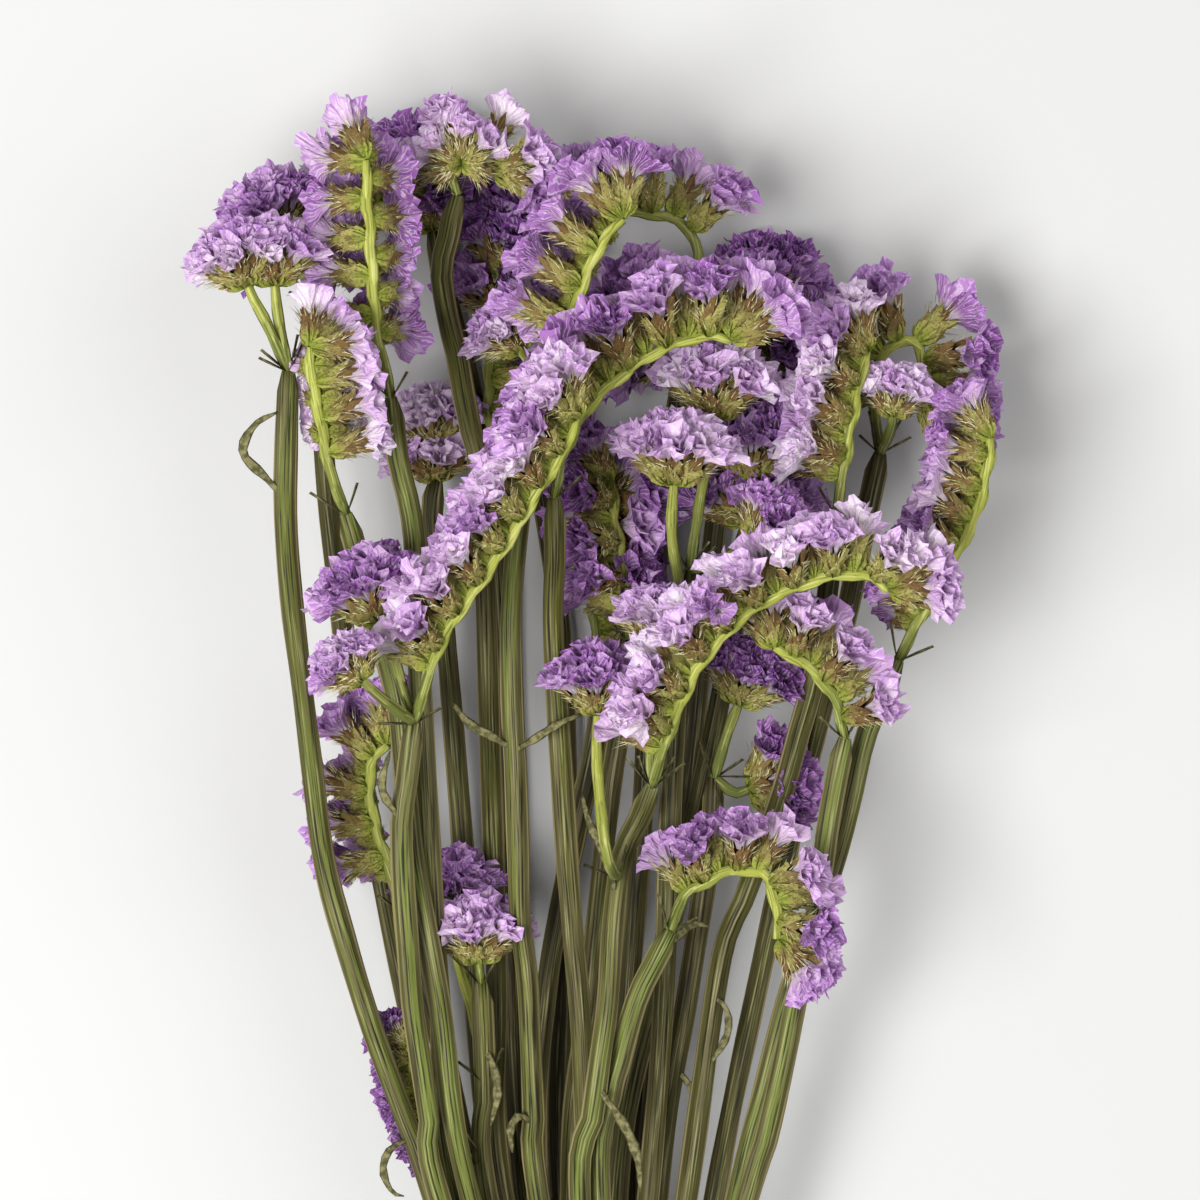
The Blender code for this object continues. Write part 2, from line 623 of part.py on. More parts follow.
def spray_pieces(i, strands):
    """The stem, branches, bracts and leaves of one spray, the stem first."""
    chance = random.Random(100 + i)
    pieces = []
    for strand in strands:
        if strand["spray"] != i:
            continue
        path, head = strand["path"], strand["head"]
        if strand["kind"] == "stem":
            tied = int(np.sum(path[:, 1] < 0.016))
            stations = np.vstack([path[[0, tied - 1]], thin_out(path[tied - 1:], STEM_TRUE)[1:]])
            radii = []
            for p in stations:
                far = min(1, max(0, (p[1] - 0.02) / 0.03))
                radii.append(STEM_TIED + (STEM_WIDE - STEM_TIED) * far)
            radii[-1] = 0.0016
            pieces.insert(0, sweep(stations, radii, winged))
            continue
        stations = thin_out(path, STEM_TRUE)
        radii = [BRANCH] * len(stations)
        radii[0] = BRANCH * 0.8
        radii[-1] = BRANCH * 0.7
        pieces.append(sweep(stations, radii, rounded))
        ways = frames(path)
        size = head["size"]
        if head["kind"] == "spike":
            for n, (at, axis, way) in enumerate(flower_places(strand)):
                pieces.append(bract(at, axis, BRACT * size, BRACT_WIDE * size, n))
        else:
            axis = ways[-1]
            side = axis.orthogonal().normalized()
            at = Vector(path[-1]) - axis * 0.0012
            pieces.append(bract(at, axis, BRACT * size + 0.0012, BRACT_WIDE * size, 0))
            for n in range(2):
                out = Matrix.Rotation(n * 3.14 + i, 3, axis) @ side
                way = (axis + out * 0.62).normalized()
                pieces.append(bract(at, way, BRACT * size * chance.uniform(0.95, 1.1),
                                    BRACT_WIDE * size * 0.85, n))
    stem = [s for s in strands if s["spray"] == i and s["kind"] == "stem"][0]["path"]
    for blade in sprays[i]["leaves"]:
        path = smooth([flat(p) for p in blade["path"]], 0.006)
        near = int(np.argmin(np.linalg.norm(stem[:, :2] - path[0], axis=1)))
        along = np.linspace(0, 1, len(path))
        heights = stem[near, 2] + blade["lift"] * 0.001 * np.sin(along * 2.4)
        path = np.c_[path, heights]
        path[0] = stem[near]
        radii = blade["wide"] * np.clip(np.sin(0.35 + along * 2.6), 0.12, 1)
        pieces.append(sweep(path, radii, bladed))
    return pieces


def flower_places(strand):
    """Where the flowers of a spike stand, leaning left and right in turn."""
    path, head = strand["path"], strand["head"]
    ways = frames(path)
    start = head["start"]
    run = SAMPLE * (len(path) - 1 - start)
    count = max(2, int(round(run / (SPIKE_STEP * head["size"]))) + 1)
    out = []
    for n, at in enumerate(np.linspace(start, len(path) - 1, count)):
        k = min(int(at), len(path) - 2)
        t = at - k
        place = Vector(path[k] * (1 - t) + path[k + 1] * t)
        way = ways[k].lerp(ways[k + 1], t).normalized()
        axis = flower_axis(head, way)
        cross = way.cross(axis).normalized()
        lean = 0.42 if n % 2 else -0.42
        out.append((place, (axis + cross * lean).normalized(), way))
    return out


def bloom_body(name, strands):
    """The papery calyxes of one head, on a slim core clear above the bracts."""
    chance = random.Random(name)
    pieces = []
    middles = []
    shade = None
    for strand in strands:
        head = strand["head"]
        if not head or head["bloom"] != name:
            continue
        shade = head["shade"]
        size = head["size"]
        path = strand["path"]
        ways = frames(path)
        if head["kind"] == "spike":
            part = path[head["start"]:]
            line = []
            for p, way in zip(part, ways[head["start"]:]):
                lift = BRACT * size + GAP + CORE * size
                line.append(np.array(p) + np.array(flower_axis(head, way)) * lift)
            middles.append(Vector(line[len(line) // 2]))
            first, last = line[0], line[-1]
            line.insert(0, first - np.array(ways[head["start"]]) * 0.0014)
            line.append(last + np.array(ways[-1]) * 0.0014)
            stations = thin_out(np.array(line), STEM_TRUE * 2)
            radii = [CORE * size] * len(stations)
            pieces.append(sweep(stations, radii, rounded))
            for n, (at, axis, way) in enumerate(flower_places(strand)):
                up = flower_axis(head, way)
                root = at + up * (BRACT * size + GAP + CORE * size)
                along = way * chance.uniform(-0.25, 0.25)
                cross = way.cross(up).normalized()
                lean = cross * (0.5 if n % 2 else -0.5)
                pieces.append(calyx(root, (up + lean + along).normalized(), size, chance))
            up = flower_axis(head, ways[-1])
            root = Vector(last) + ways[-1] * 0.0004
            pieces.append(calyx(root, (ways[-1] * 1.2 + up).normalized(), size, chance))
        else:
            axis = ways[-1]
            at = Vector(path[-1]) + axis * (BRACT * size + GAP + CORE * size * 1.35)
            pieces.append(core_ball(at, CORE * size * 1.1))
            middles.append(at)
            side = Vector((0, 0, -1))
            side = (side - axis * side.dot(axis)).normalized()
            pieces.append(calyx(at, axis, size, chance))
            for n in range(4):
                out = Matrix.Rotation(n * math.pi / 2, 3, axis) @ side
                pieces.append(calyx(at, (axis + out * 1.8).normalized(), size, chance))
    for a, b in zip(middles, middles[1:]):
        pieces.append(sweep(np.array([a, (a + b) / 2, b]), [CORE * 0.8] * 3, rounded))
    return fuse(name + "_bloom", pieces, shade)


def tie_body():
    """A flat-bottomed band of three turns round the gathered stems."""
    bm = bmesh.new()
    half = TIE_LENGTH / 2
    groove = [(0.0, -half), (0.0, half), (0.0014, half), (0.0020, half * 0.67),
              (0.0013, half * 0.33), (0.0020, 0.0), (0.0013, -half * 0.33),
              (0.0020, -half * 0.67), (0.0014, -half)]
    ring = [bm.verts.new((TIE_INNER_X + x, y, 0)) for x, y in groove]
    face = bm.faces.new(ring)
    bmesh.ops.spin(bm, geom=[face, *face.edges, *face.verts], cent=(0, 0, 0),
                   axis=(0, 1, 0), angle=2 * math.pi, steps=16, use_merge=True)
    inside = [f for f in bm.faces if len(f.verts) == len(groove)]
    bmesh.ops.delete(bm, geom=inside, context="FACES_ONLY")
    for v in bm.verts:
        v.co.z = v.co.z * (TIE_INNER_Z / TIE_INNER_X) + TIE_MIDDLE
    bmesh.ops.recalc_face_normals(bm, faces=bm.faces)
    mesh = bpy.data.meshes.new("tie")
    bm.to_mesh(mesh)
    bm.free()
    return fuse("tie", [link("tie", mesh)], "tie_straw")


for old in list(bpy.data.objects):
    bpy.data.objects.remove(old)
bunch = bpy.data.collections.new("dried_statice")
work = bpy.data.collections.new("cutters")
bpy.context.scene.collection.children.link(bunch)
bpy.context.scene.collection.children.link(work)
paints = {}
for paint_name, (colour, rough) in PAINTS.items():
    paint = bpy.data.materials.new(paint_name)
    paint.use_nodes = True
    shader = paint.node_tree.nodes["Principled BSDF"]
    shader.inputs["Base Color"].default_value = colour
    shader.inputs["Roughness"].default_value = rough
    shader.inputs["Metallic"].default_value = 0.0
    paints[paint_name] = paint

winged = outline("winged", [(1, 0), (0.42, 0.62), (-0.42, 0.62), (-1, 0),
                            (-0.42, -0.62), (0.42, -0.62)])
rounded = outline("rounded", [(math.cos(a), math.sin(a))
                              for a in (0.3, 1.87, 3.44, 5.01)])
bladed = outline("bladed", [(1, 0), (0, 0.26), (-1, 0), (0, -0.26)])
block = bmesh.new()
bmesh.ops.create_cube(block, size=1.0)
bmesh.ops.scale(block, vec=(1.0, 1.6, 0.1), verts=block.verts)
bmesh.ops.translate(block, vec=(0, 0.2, -0.05), verts=block.verts)
ground_mesh = bpy.data.meshes.new("ground")
block.to_mesh(ground_mesh)
block.free()
ground = link("ground", ground_mesh)

all_strands = make_strands()
settle(all_strands)
for green_name, held_sprays in green_nodes().items():
    green_body(green_name, held_sprays, all_strands)
bloom_names = []
for one in all_strands:
    if one["head"] and one["head"]["bloom"] not in bloom_names:
        bloom_names.append(one["head"]["bloom"])
for bloom_name in bloom_names:
    bloom_body(bloom_name, all_strands)
tie_body()
for spare in list(work.objects):
    bpy.data.objects.remove(spare)
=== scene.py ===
"""Looks of the dried statice bunch: papery calyxes, hairy bracts and winged stems."""

import json
import math
import random

import bmesh
import bpy
import numpy as np
from mathutils import Matrix, Vector

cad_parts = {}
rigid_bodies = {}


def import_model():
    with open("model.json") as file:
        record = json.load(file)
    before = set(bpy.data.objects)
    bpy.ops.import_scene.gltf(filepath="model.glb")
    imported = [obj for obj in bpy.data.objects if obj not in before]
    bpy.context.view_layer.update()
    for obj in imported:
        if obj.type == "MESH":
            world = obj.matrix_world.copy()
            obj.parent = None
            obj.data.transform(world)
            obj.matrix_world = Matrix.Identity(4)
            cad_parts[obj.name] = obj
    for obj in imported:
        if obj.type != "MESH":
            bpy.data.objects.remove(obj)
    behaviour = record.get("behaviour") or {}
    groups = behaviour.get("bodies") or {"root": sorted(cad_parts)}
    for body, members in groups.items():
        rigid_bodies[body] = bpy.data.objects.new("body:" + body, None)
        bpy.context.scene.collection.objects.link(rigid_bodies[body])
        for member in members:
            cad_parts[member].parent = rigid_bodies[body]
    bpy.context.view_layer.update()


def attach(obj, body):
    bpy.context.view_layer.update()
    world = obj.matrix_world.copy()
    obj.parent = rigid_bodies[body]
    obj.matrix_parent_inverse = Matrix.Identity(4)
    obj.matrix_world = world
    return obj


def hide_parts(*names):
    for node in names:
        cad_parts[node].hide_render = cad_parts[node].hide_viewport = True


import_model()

# Sizes in metres
PIXEL = 0.00025
MIDDLE_PX = 600
TIE_PX = 1640
HEAD_DISTANCE = 0.300
HEAD_MIDDLE = 0.050
HEAD_HALF = 0.044
CUT_END = -0.050
TIE_MIDDLE = 0.0153
TIE_ROW_RISE = 0.0042
TIE_PITCH = 0.0056
TIE_LENGTH = 0.012
TIE_INNER_X = 0.0177
TIE_INNER_Z = 0.0142
STEM_WIDE = 0.0026
STEM_THICK = 0.0017
STEM_TIED = 0.0021
BRANCH = 0.0013
BRACT = 0.0088
CORE = 0.0020
GAP = 0.0004
REST_SINK = 0.0010
SAMPLE = 0.005
TIED_END = 0.012
HELD_END = 0.016
THIN_END = 0.03
FAN_OUT = 0.10
TIED_HALF = 0.010

# Half width and half height that a form of size 1 keeps clear, and how far out it stands
STEM_SPARE = (0.0004, 0.0006)
BRACT_ROOM = (0.0042, 0.0046)
SPIKE_ROOM = (0.0088, 0.0102)
SPIKE_OUT = 0.0045
CAP_BRACT_ROOM = (0.0045, 0.0045)
CAP_ROOM = (0.0112, 0.0112)
CAP_OUT = 0.0040
MILLIMETRE = 0.001

# How the strands are settled
SETTLE_ROUNDS = 1800
PULL_BACK = 0.003
SOFTEN = (0.1, 0.2, 0.4, 0.2, 0.1)
STRAIGHTEN = 0.3

sprays = []


def spray(name, depth, paint, *stem):
    """One flower stem, from the photo's lower edge up. Depth 1 is nearest the camera."""
    sprays.append(dict(name=name, depth=depth, paint=paint, stem=stem, heads=[], leaves=[]))


def cap(bloom, shade, size, lift, *path, kind="cap", **more):
    """A round head that looks along the end of its branch."""
    sprays[-1]["heads"].append(dict(
        kind=kind, bloom=bloom, shade=shade, size=size, lift=lift, path=path, **more))


def spike(bloom, shade, size, lift, side, tilt, first, *path):
    """A one-sided spike: flowers from point number first, side 1 is left of the way up."""
    cap(bloom, shade, size, lift, *path, kind="spike", side=side, tilt=math.radians(tilt),
        first=first)


def leaf(wide, lift, *path):
    """A long dry leaf, from its stem to its tip."""
    sprays[-1]["leaves"].append(dict(wide=wide, lift=lift, path=path))


# The sprays, in photo pixels
spray("outer_left", 0.55, "green", (432, 1200), (404, 1120), (372, 1030), (345, 940),
      (325, 860), (313, 760), (304, 680), (295, 600), (290, 520), (291, 450), (294, 375))
cap("outer_left", "lilac", 0.85, 4, (294, 375), (272, 326), (258, 300), (254, 288))
cap("outer_left", "lilac", 0.85, 1, (294, 375), (284, 320), (281, 286))
leaf(0.0024, 5, (290, 500), (272, 480), (250, 455), (262, 428), (285, 415))
leaf(0.0020, 5, (410, 1140), (390, 1150), (383, 1170), (392, 1192), (404, 1197))

spray("left_front", 0.50, "green", (455, 1200), (440, 1000), (428, 800), (420, 640),
      (417, 545), (410, 500), (400, 460), (393, 400))
spike("left_front", "violet", 0.95, 4, 1, -75, 2, (393, 400), (388, 370), (381, 340),
      (378, 300), (376, 270), (375, 240), (372, 200), (373, 172))

spray("left_arch", 0.70, "green", (470, 1200), (440, 1000), (415, 850), (405, 750),
      (400, 700), (385, 640), (365, 570), (350, 515))
spike("left_arch", "lilac", 0.9, 3, -1, -50, 2, (350, 515), (341, 490), (335, 465),
      (329, 435), (325, 410), (320, 385), (318, 355))

spray("top_left", -0.35, "olive", (445, 1200), (400, 1000), (360, 800), (335, 600),
      (320, 450), (315, 300))
cap("far_left", "violet", 0.9, 2, (315, 300), (296, 262), (281, 234))
spike("top_left", "lilac", 0.9, -2, 1, -10, 1, (315, 300), (314, 255), (325, 228),
      (352, 208), (385, 198))

spray("top_middle", 0.05, "olive", (500, 1200), (495, 1000), (490, 800), (485, 600),
      (477, 460), (470, 430), (462, 390), (455, 350), (447, 320), (440, 270), (447, 240),
      (452, 216), (458, 196))
spike("top_middle", "lilac", 0.95, 2, 1, 5, 1, (458, 196), (453, 174), (463, 157),
      (482, 155), (494, 172))

spray("back_top", -1.00, "olive", (520, 1200), (505, 900), (495, 600), (470, 400),
      (440, 280), (428, 215))
cap("back_top", "dusky", 1.1, 0, (428, 215), (425, 195), (424, 178))
spike("back_middle", "dusky", 0.9, 6, -1, -25, 1, (488, 500), (488, 440), (486, 400),
      (487, 360), (488, 325))

spray("back_hollow", -0.90, "olive", (560, 1200), (562, 1000), (566, 800), (556, 600),
      (528, 430), (502, 330))
cap("back_hollow", "dusky", 1.1, 0, (502, 330), (503, 290), (508, 262))

spray("centre", 0.35, "green", (537, 1200), (533, 1120), (530, 1050), (527, 980),
      (520, 920), (518, 850), (515, 760), (512, 700), (512, 600), (525, 480), (550, 385))
spike("centre", "violet", 1.05, 5, 1, -38, 1, (550, 385), (560, 355), (572, 320),
      (585, 285), (600, 252), (622, 225))
cap("centre_left", "lilac", 0.75, -3, (550, 385), (530, 362), (518, 346))
leaf(0.0024, 6, (512, 748), (492, 735), (470, 722), (452, 700))
leaf(0.0022, 8, (513, 752), (535, 738), (560, 722), (585, 712))
leaf(0.0022, 5, (534, 1130), (520, 1118), (510, 1132), (512, 1156))

spray("centre_right", 0.55, "olive", (590, 1200), (580, 1020), (573, 940), (567, 860),
      (562, 780), (557, 700), (553, 620), (555, 560), (555, 500))
spike("centre_right", "violet", 1.1, 2, 1, 5, 1, (555, 500), (565, 455), (590, 410),
      (625, 378), (660, 355), (700, 342), (728, 345))

spray("diagonal", 0.95, "green", (440, 1200), (430, 1120), (422, 1060), (414, 1000),
      (410, 940), (406, 880), (405, 820), (410, 780), (418, 720))
spike("diagonal", "lilac", 0.95, 8, 1, 15, 1, (418, 720), (440, 655), (457, 622),
      (480, 590), (500, 560), (520, 530), (540, 495), (560, 465), (578, 425))
cap("diagonal_left", "violet", 0.95, 2, (418, 720), (408, 690), (394, 640), (385, 615))
cap("diagonal_low", "lilac", 0.65, 10, (418, 720), (392, 698), (370, 675))
leaf(0.0022, 6, (406, 815), (396, 805), (386, 782), (394, 748))

spray("right_front", 0.85, "green", (580, 1200), (592, 1120), (600, 1060), (608, 1000),
      (612, 930), (618, 880), (625, 850), (640, 820), (652, 785))
spike("right_front", "lilac", 0.95, 8, 1, 15, 1, (652, 785), (665, 740), (680, 700),
      (698, 663), (730, 625), (760, 602), (790, 588), (820, 578), (855, 575), (880, 590))
cap("right_prong", "lilac", 0.75, -2, (652, 785), (650, 720), (655, 660), (657, 640))
cap("bright", "violet", 0.9, 2, (617, 885), (605, 840), (597, 760), (598, 708))
leaf(0.0022, 8, (616, 890), (602, 850), (588, 818), (581, 790))
leaf(0.0026, 5, (597, 1085), (612, 1105), (628, 1130), (638, 1158), (640, 1190))

spray("low_right", 0.72, "green", (600, 1200), (610, 1100), (620, 1060), (630, 1020),
      (640, 990), (655, 960), (670, 930))
spike("low_right", "violet", 0.9, 6, 1, 5, 1, (670, 930), (684, 898), (702, 884),
      (725, 872), (748, 868), (766, 876), (774, 900), (776, 935))

spray("right", 0.50, "green", (750, 1200), (765, 1150), (785, 1060), (800, 980),
      (812, 930), (820, 880), (828, 820), (838, 760), (843, 737))
spike("right", "lilac", 0.95, 4, -1, 5, 1, (843, 737), (840, 718), (830, 694),
      (814, 674), (795, 658), (772, 648))

spray("far_right", 0.20, "green", (740, 1200), (765, 1100), (790, 1000), (808, 950),
      (826, 895), (840, 850), (852, 800), (864, 745), (880, 700), (898, 660))
spike("far_right", "violet", 0.9, 2, 1, -30, 1, (898, 660), (918, 622), (940, 582),
      (960, 545), (976, 508), (984, 472), (988, 440))

spray("inner_right", -0.10, "olive", (690, 1200), (722, 970), (745, 905), (765, 850),
      (785, 790), (800, 735), (815, 680), (828, 600), (837, 515))
spike("inner_right", "lilac", 0.95, 2, 1, 5, 1, (837, 515), (842, 480), (847, 445),
      (853, 410), (860, 375), (868, 352))
leaf(0.0020, 5, (708, 1075), (722, 1055), (730, 1035), (727, 1012), (711, 999))

spray("top_right", -0.50, "olive", (720, 1200), (760, 1000), (800, 820), (850, 620),
      (872, 510), (885, 450))
spike("top_right", "violet", 1.08, 0, 1, 0, 1, (885, 450), (880, 400), (884, 362),
      (900, 338), (922, 340), (930, 365), (928, 395))
cap("right_small", "lilac", 0.7, 16, (885, 450), (893, 430), (895, 412))

spray("back_right", -1.00, "olive", (640, 1200), (660, 1000), (690, 800), (710, 600),
      (730, 450), (760, 350))
cap("back_right", "dusky", 1.0, 0, (760, 350), (768, 320), (772, 295))
cap("back_right", "dusky", 0.9, 2, (760, 350), (790, 345), (808, 330))

spray("back_centre", -0.60, "olive", (615, 1200), (630, 1000), (645, 800), (655, 600),
      (680, 400), (698, 285))
spike("back_centre", "violet", 1.05, 4, -1, 0, 2, (698, 285), (700, 245), (690, 222),
      (660, 208), (625, 206), (590, 210))
cap("back_inner", "violet", 1.1, 0, (684, 380), (662, 340), (650, 322))

spray("middle_right", 0.00, "olive", (650, 1200), (665, 1000), (672, 800), (680, 650),
      (690, 570))
cap("middle_top", "lilac", 1.0, 4, (690, 570), (700, 500), (710, 440), (712, 412))
cap("middle_low", "lilac", 0.95, 10, (684, 610), (672, 540), (672, 500), (674, 480))
cap("middle_side", "violet", 0.8, 0, (690, 570), (722, 560), (752, 540))
leaf(0.0022, 5, (670, 950), (684, 934), (696, 926), (710, 930))

spray("low_left", -0.20, "olive", (470, 1200), (440, 1060), (415, 970), (398, 915))
spike("low_left", "violet", 0.95, 2, 1, -35, 1, (398, 915), (390, 880), (380, 850),
      (372, 820), (368, 790), (371, 764), (386, 745))

spray("low_middle", 0.30, "green", (485, 1200), (484, 1100), (482, 1030), (480, 985))
cap("low_middle", "violet", 0.9, 2, (480, 985), (479, 968), (478, 958))
cap("low_middle_back", "violet", 0.85, -8, (484, 1090), (472, 1020), (455, 960),
    (450, 915))
spike("little", "dusky", 0.6, 4, 1, 5, 1, (484, 1165), (440, 1150), (422, 1120),
      (412, 1085), (408, 1050))
leaf(0.0024, 5, (483, 1050), (494, 1072), (497, 1098), (490, 1128))

spray("back_left", -0.80, "olive", (490, 1200), (470, 1000), (455, 800), (440, 620),
      (428, 520), (432, 475))
cap("back_left", "lilac", 0.85, 2, (432, 475), (433, 455), (431, 440))

spray("inner", -0.45, "olive", (570, 1200), (590, 1000), (610, 800), (625, 700),
      (628, 640))
spike("inner", "dusky", 1.0, 2, 1, 20, 1, (628, 640), (626, 600), (622, 560),
      (615, 520), (612, 480))

spray("inner_back", -0.48, "olive", (535, 1200), (545, 1000), (572, 850), (592, 760),
      (604, 690))
spike("inner_back", "dusky", 1.1, 0, -1, 10, 1, (604, 690), (598, 650), (592, 600),
      (590, 552), (592, 508))

spray("inner_far", -0.40, "olive", (618, 1200), (655, 1000), (690, 850), (722, 700),
      (742, 580), (750, 520))
cap("back_low", "dusky", 1.1, 0, (750, 520), (752, 495), (752, 474))

spray("inner_low", -0.30, "olive", (660, 1200), (690, 1000), (712, 850), (716, 780))
cap("inner_low", "dusky", 0.9, 4, (716, 780), (731, 728), (742, 700))
cap("inner_side", "dusky", 0.9, 0, (716, 790), (738, 796), (757, 790))
leaf(0.0024, 5, (680, 1080), (694, 1098), (704, 1118), (699, 1146))

# Stems that the tie presses into one body
PRESSED = {
    "back_sprays": ("back_left", "back_top", "back_hollow", "back_centre", "back_right"),
    "inner_sprays": ("inner_back", "inner", "inner_far", "inner_low"),
}


def green_nodes():
    """Each green node's name, with the sprays that it holds."""
    held = {name: node for node, names in PRESSED.items() for name in names}
    nodes = {}
    for i, s in enumerate(sprays):
        nodes.setdefault(held.get(s["name"], s["name"] + "_spray"), []).append(i)
    return nodes


def flat(point):
    """A photo pixel as X and Y."""
    return np.array([(point[0] - MIDDLE_PX) * PIXEL, (TIE_PX - point[1]) * PIXEL])


def smooth(points, step):
    """A Catmull-Rom path through the points, resampled at about one step."""
    points = np.asarray(points, float)
    ends = np.vstack([2 * points[0] - points[1], points, 2 * points[-1] - points[-2]])
    fine = []
    for i in range(1, len(ends) - 2):
        a, b, c, d = ends[i - 1:i + 3]
        for t in np.arange(0, 1, 0.1):
            fine.append(0.5 * (2 * b + (c - a) * t + (2 * a - 5 * b + 4 * c - d) * t * t
                               + (3 * b - a - 3 * c + d) * t ** 3))
    fine.append(points[-1])
    fine = np.array(fine)
    run = np.r_[0, np.cumsum(np.linalg.norm(np.diff(fine, axis=0), axis=1))]
    count = max(2, int(round(run[-1] / step)) + 1)
    at = np.linspace(0, run[-1], count)
    return np.stack([np.interp(at, run, fine[:, k]) for k in range(fine.shape[1])], 1)


def rise(y, depth):
    """The height of a spray that far up the bunch."""
    far = min(1.0, max(0.0, y / HEAD_DISTANCE))
    middle = TIE_MIDDLE + (HEAD_MIDDLE - TIE_MIDDLE) * far
    return middle + depth * (TIED_HALF + (HEAD_HALF - TIED_HALF) * far)


def tie_places():
    """Where each stem passes the tie: five rows by depth, each ordered by X."""
    order = sorted(range(len(sprays)), key=lambda i: sprays[i]["depth"])
    rows = [5, 6, 6, 5, 4]
    places = {}
    start = 0
    for number, size in enumerate(rows):
        row = sorted(order[start:start + size], key=lambda i: sprays[i]["stem"][0][0])
        start += size
        for k, i in enumerate(row):
            places[i] = ((k - (size - 1) / 2) * TIE_PITCH,
                         TIE_MIDDLE + (number - 2) * TIE_ROW_RISE)
    return places


def frames(path):
    """The level unit tangent at each point of a path."""
    return [Vector((t[0], t[1], 0)).normalized() for t in np.gradient(path, axis=0)]


def flower_axis(head, tangent):
    """The way a spike's flowers look."""
    side = Vector((-tangent.y, tangent.x, 0)).normalized() * head["side"]
    return side * math.cos(head["tilt"]) + Vector((0, 0, 1)) * math.sin(head["tilt"])


def make_strands():
    """Every stem and branch as a path, with the heights still to be settled."""
    strands = []
    places = tie_places()
    for i, s in enumerate(sprays):
        x, z = places[i]
        points = [(x * 1.02, CUT_END), (x, -TIED_END), (x, TIED_END)]
        points += [tuple(flat(p)) for p in s["stem"]]
        path = smooth(points, SAMPLE)
        heights = []
        for q in path:
            if q[1] < TIED_END:
                heights.append(z)
            else:
                blend = min(1.0, (q[1] - TIED_END) / FAN_OUT)
                heights.append(z * (1 - blend) + rise(q[1], s["depth"]) * blend)
        stem = dict(spray=i, kind="stem", path=np.c_[path, heights], head=None, root=None)
        strands.append(stem)
        number = len(strands) - 1
        for head in s["heads"]:
            path = smooth([flat(p) for p in head["path"]], SAMPLE)
            near = int(np.argmin(np.linalg.norm(stem["path"][:, :2] - path[0], axis=1)))
            path[0] = stem["path"][near, :2]
            along = np.linspace(0, 1, len(path))
            lift = head["lift"] * MILLIMETRE
            heights = [rise(q[1], s["depth"]) + lift * min(1, t * 2)
                       for q, t in zip(path, along)]
            strands.append(dict(spray=i, kind=head["kind"], path=np.c_[path, heights],
                                head=head, root=(number, near)))
            if head["kind"] == "spike":
                first = flat(head["path"][head["first"]])
                head["start"] = int(np.argmin(np.linalg.norm(path - first, axis=1)))
    return strands


def clearances(strand):
    """Room round a strand: point, offset, half width, half height, whether a bloom."""
    out = []
    path, head = strand["path"], strand["head"]
    ways = frames(path)
    if strand["kind"] == "stem":
        spare_wide, spare_thick = STEM_SPARE
        for k, p in enumerate(path):
            thin = p[1] < THIN_END
            out.append((k, (0, 0, 0), STEM_TIED if thin else STEM_WIDE + spare_wide,
                        STEM_THICK if thin else STEM_THICK + spare_thick, False))
        return out
    size = head["size"]

    def room(k, axis, away, half, bloom):
        out.append((k, axis * away, half[0] * size, half[1] * size, bloom))

    for k, way in enumerate(ways):
        out.append((k, (0, 0, 0), BRANCH + STEM_SPARE[0], BRANCH + STEM_SPARE[0], False))
        if head["kind"] == "spike" and k >= head["start"]:
            axis = flower_axis(head, way)
            room(k, axis, BRACT * size * 0.55, BRACT_ROOM, False)
            room(k, axis, (BRACT + CORE + SPIKE_OUT) * size, SPIKE_ROOM, True)
    if head["kind"] == "cap":
        room(len(path) - 1, ways[-1], BRACT * size * 0.5, CAP_BRACT_ROOM, False)
        room(len(path) - 1, ways[-1], (BRACT + CORE + CAP_OUT) * size, CAP_ROOM, True)
    return out


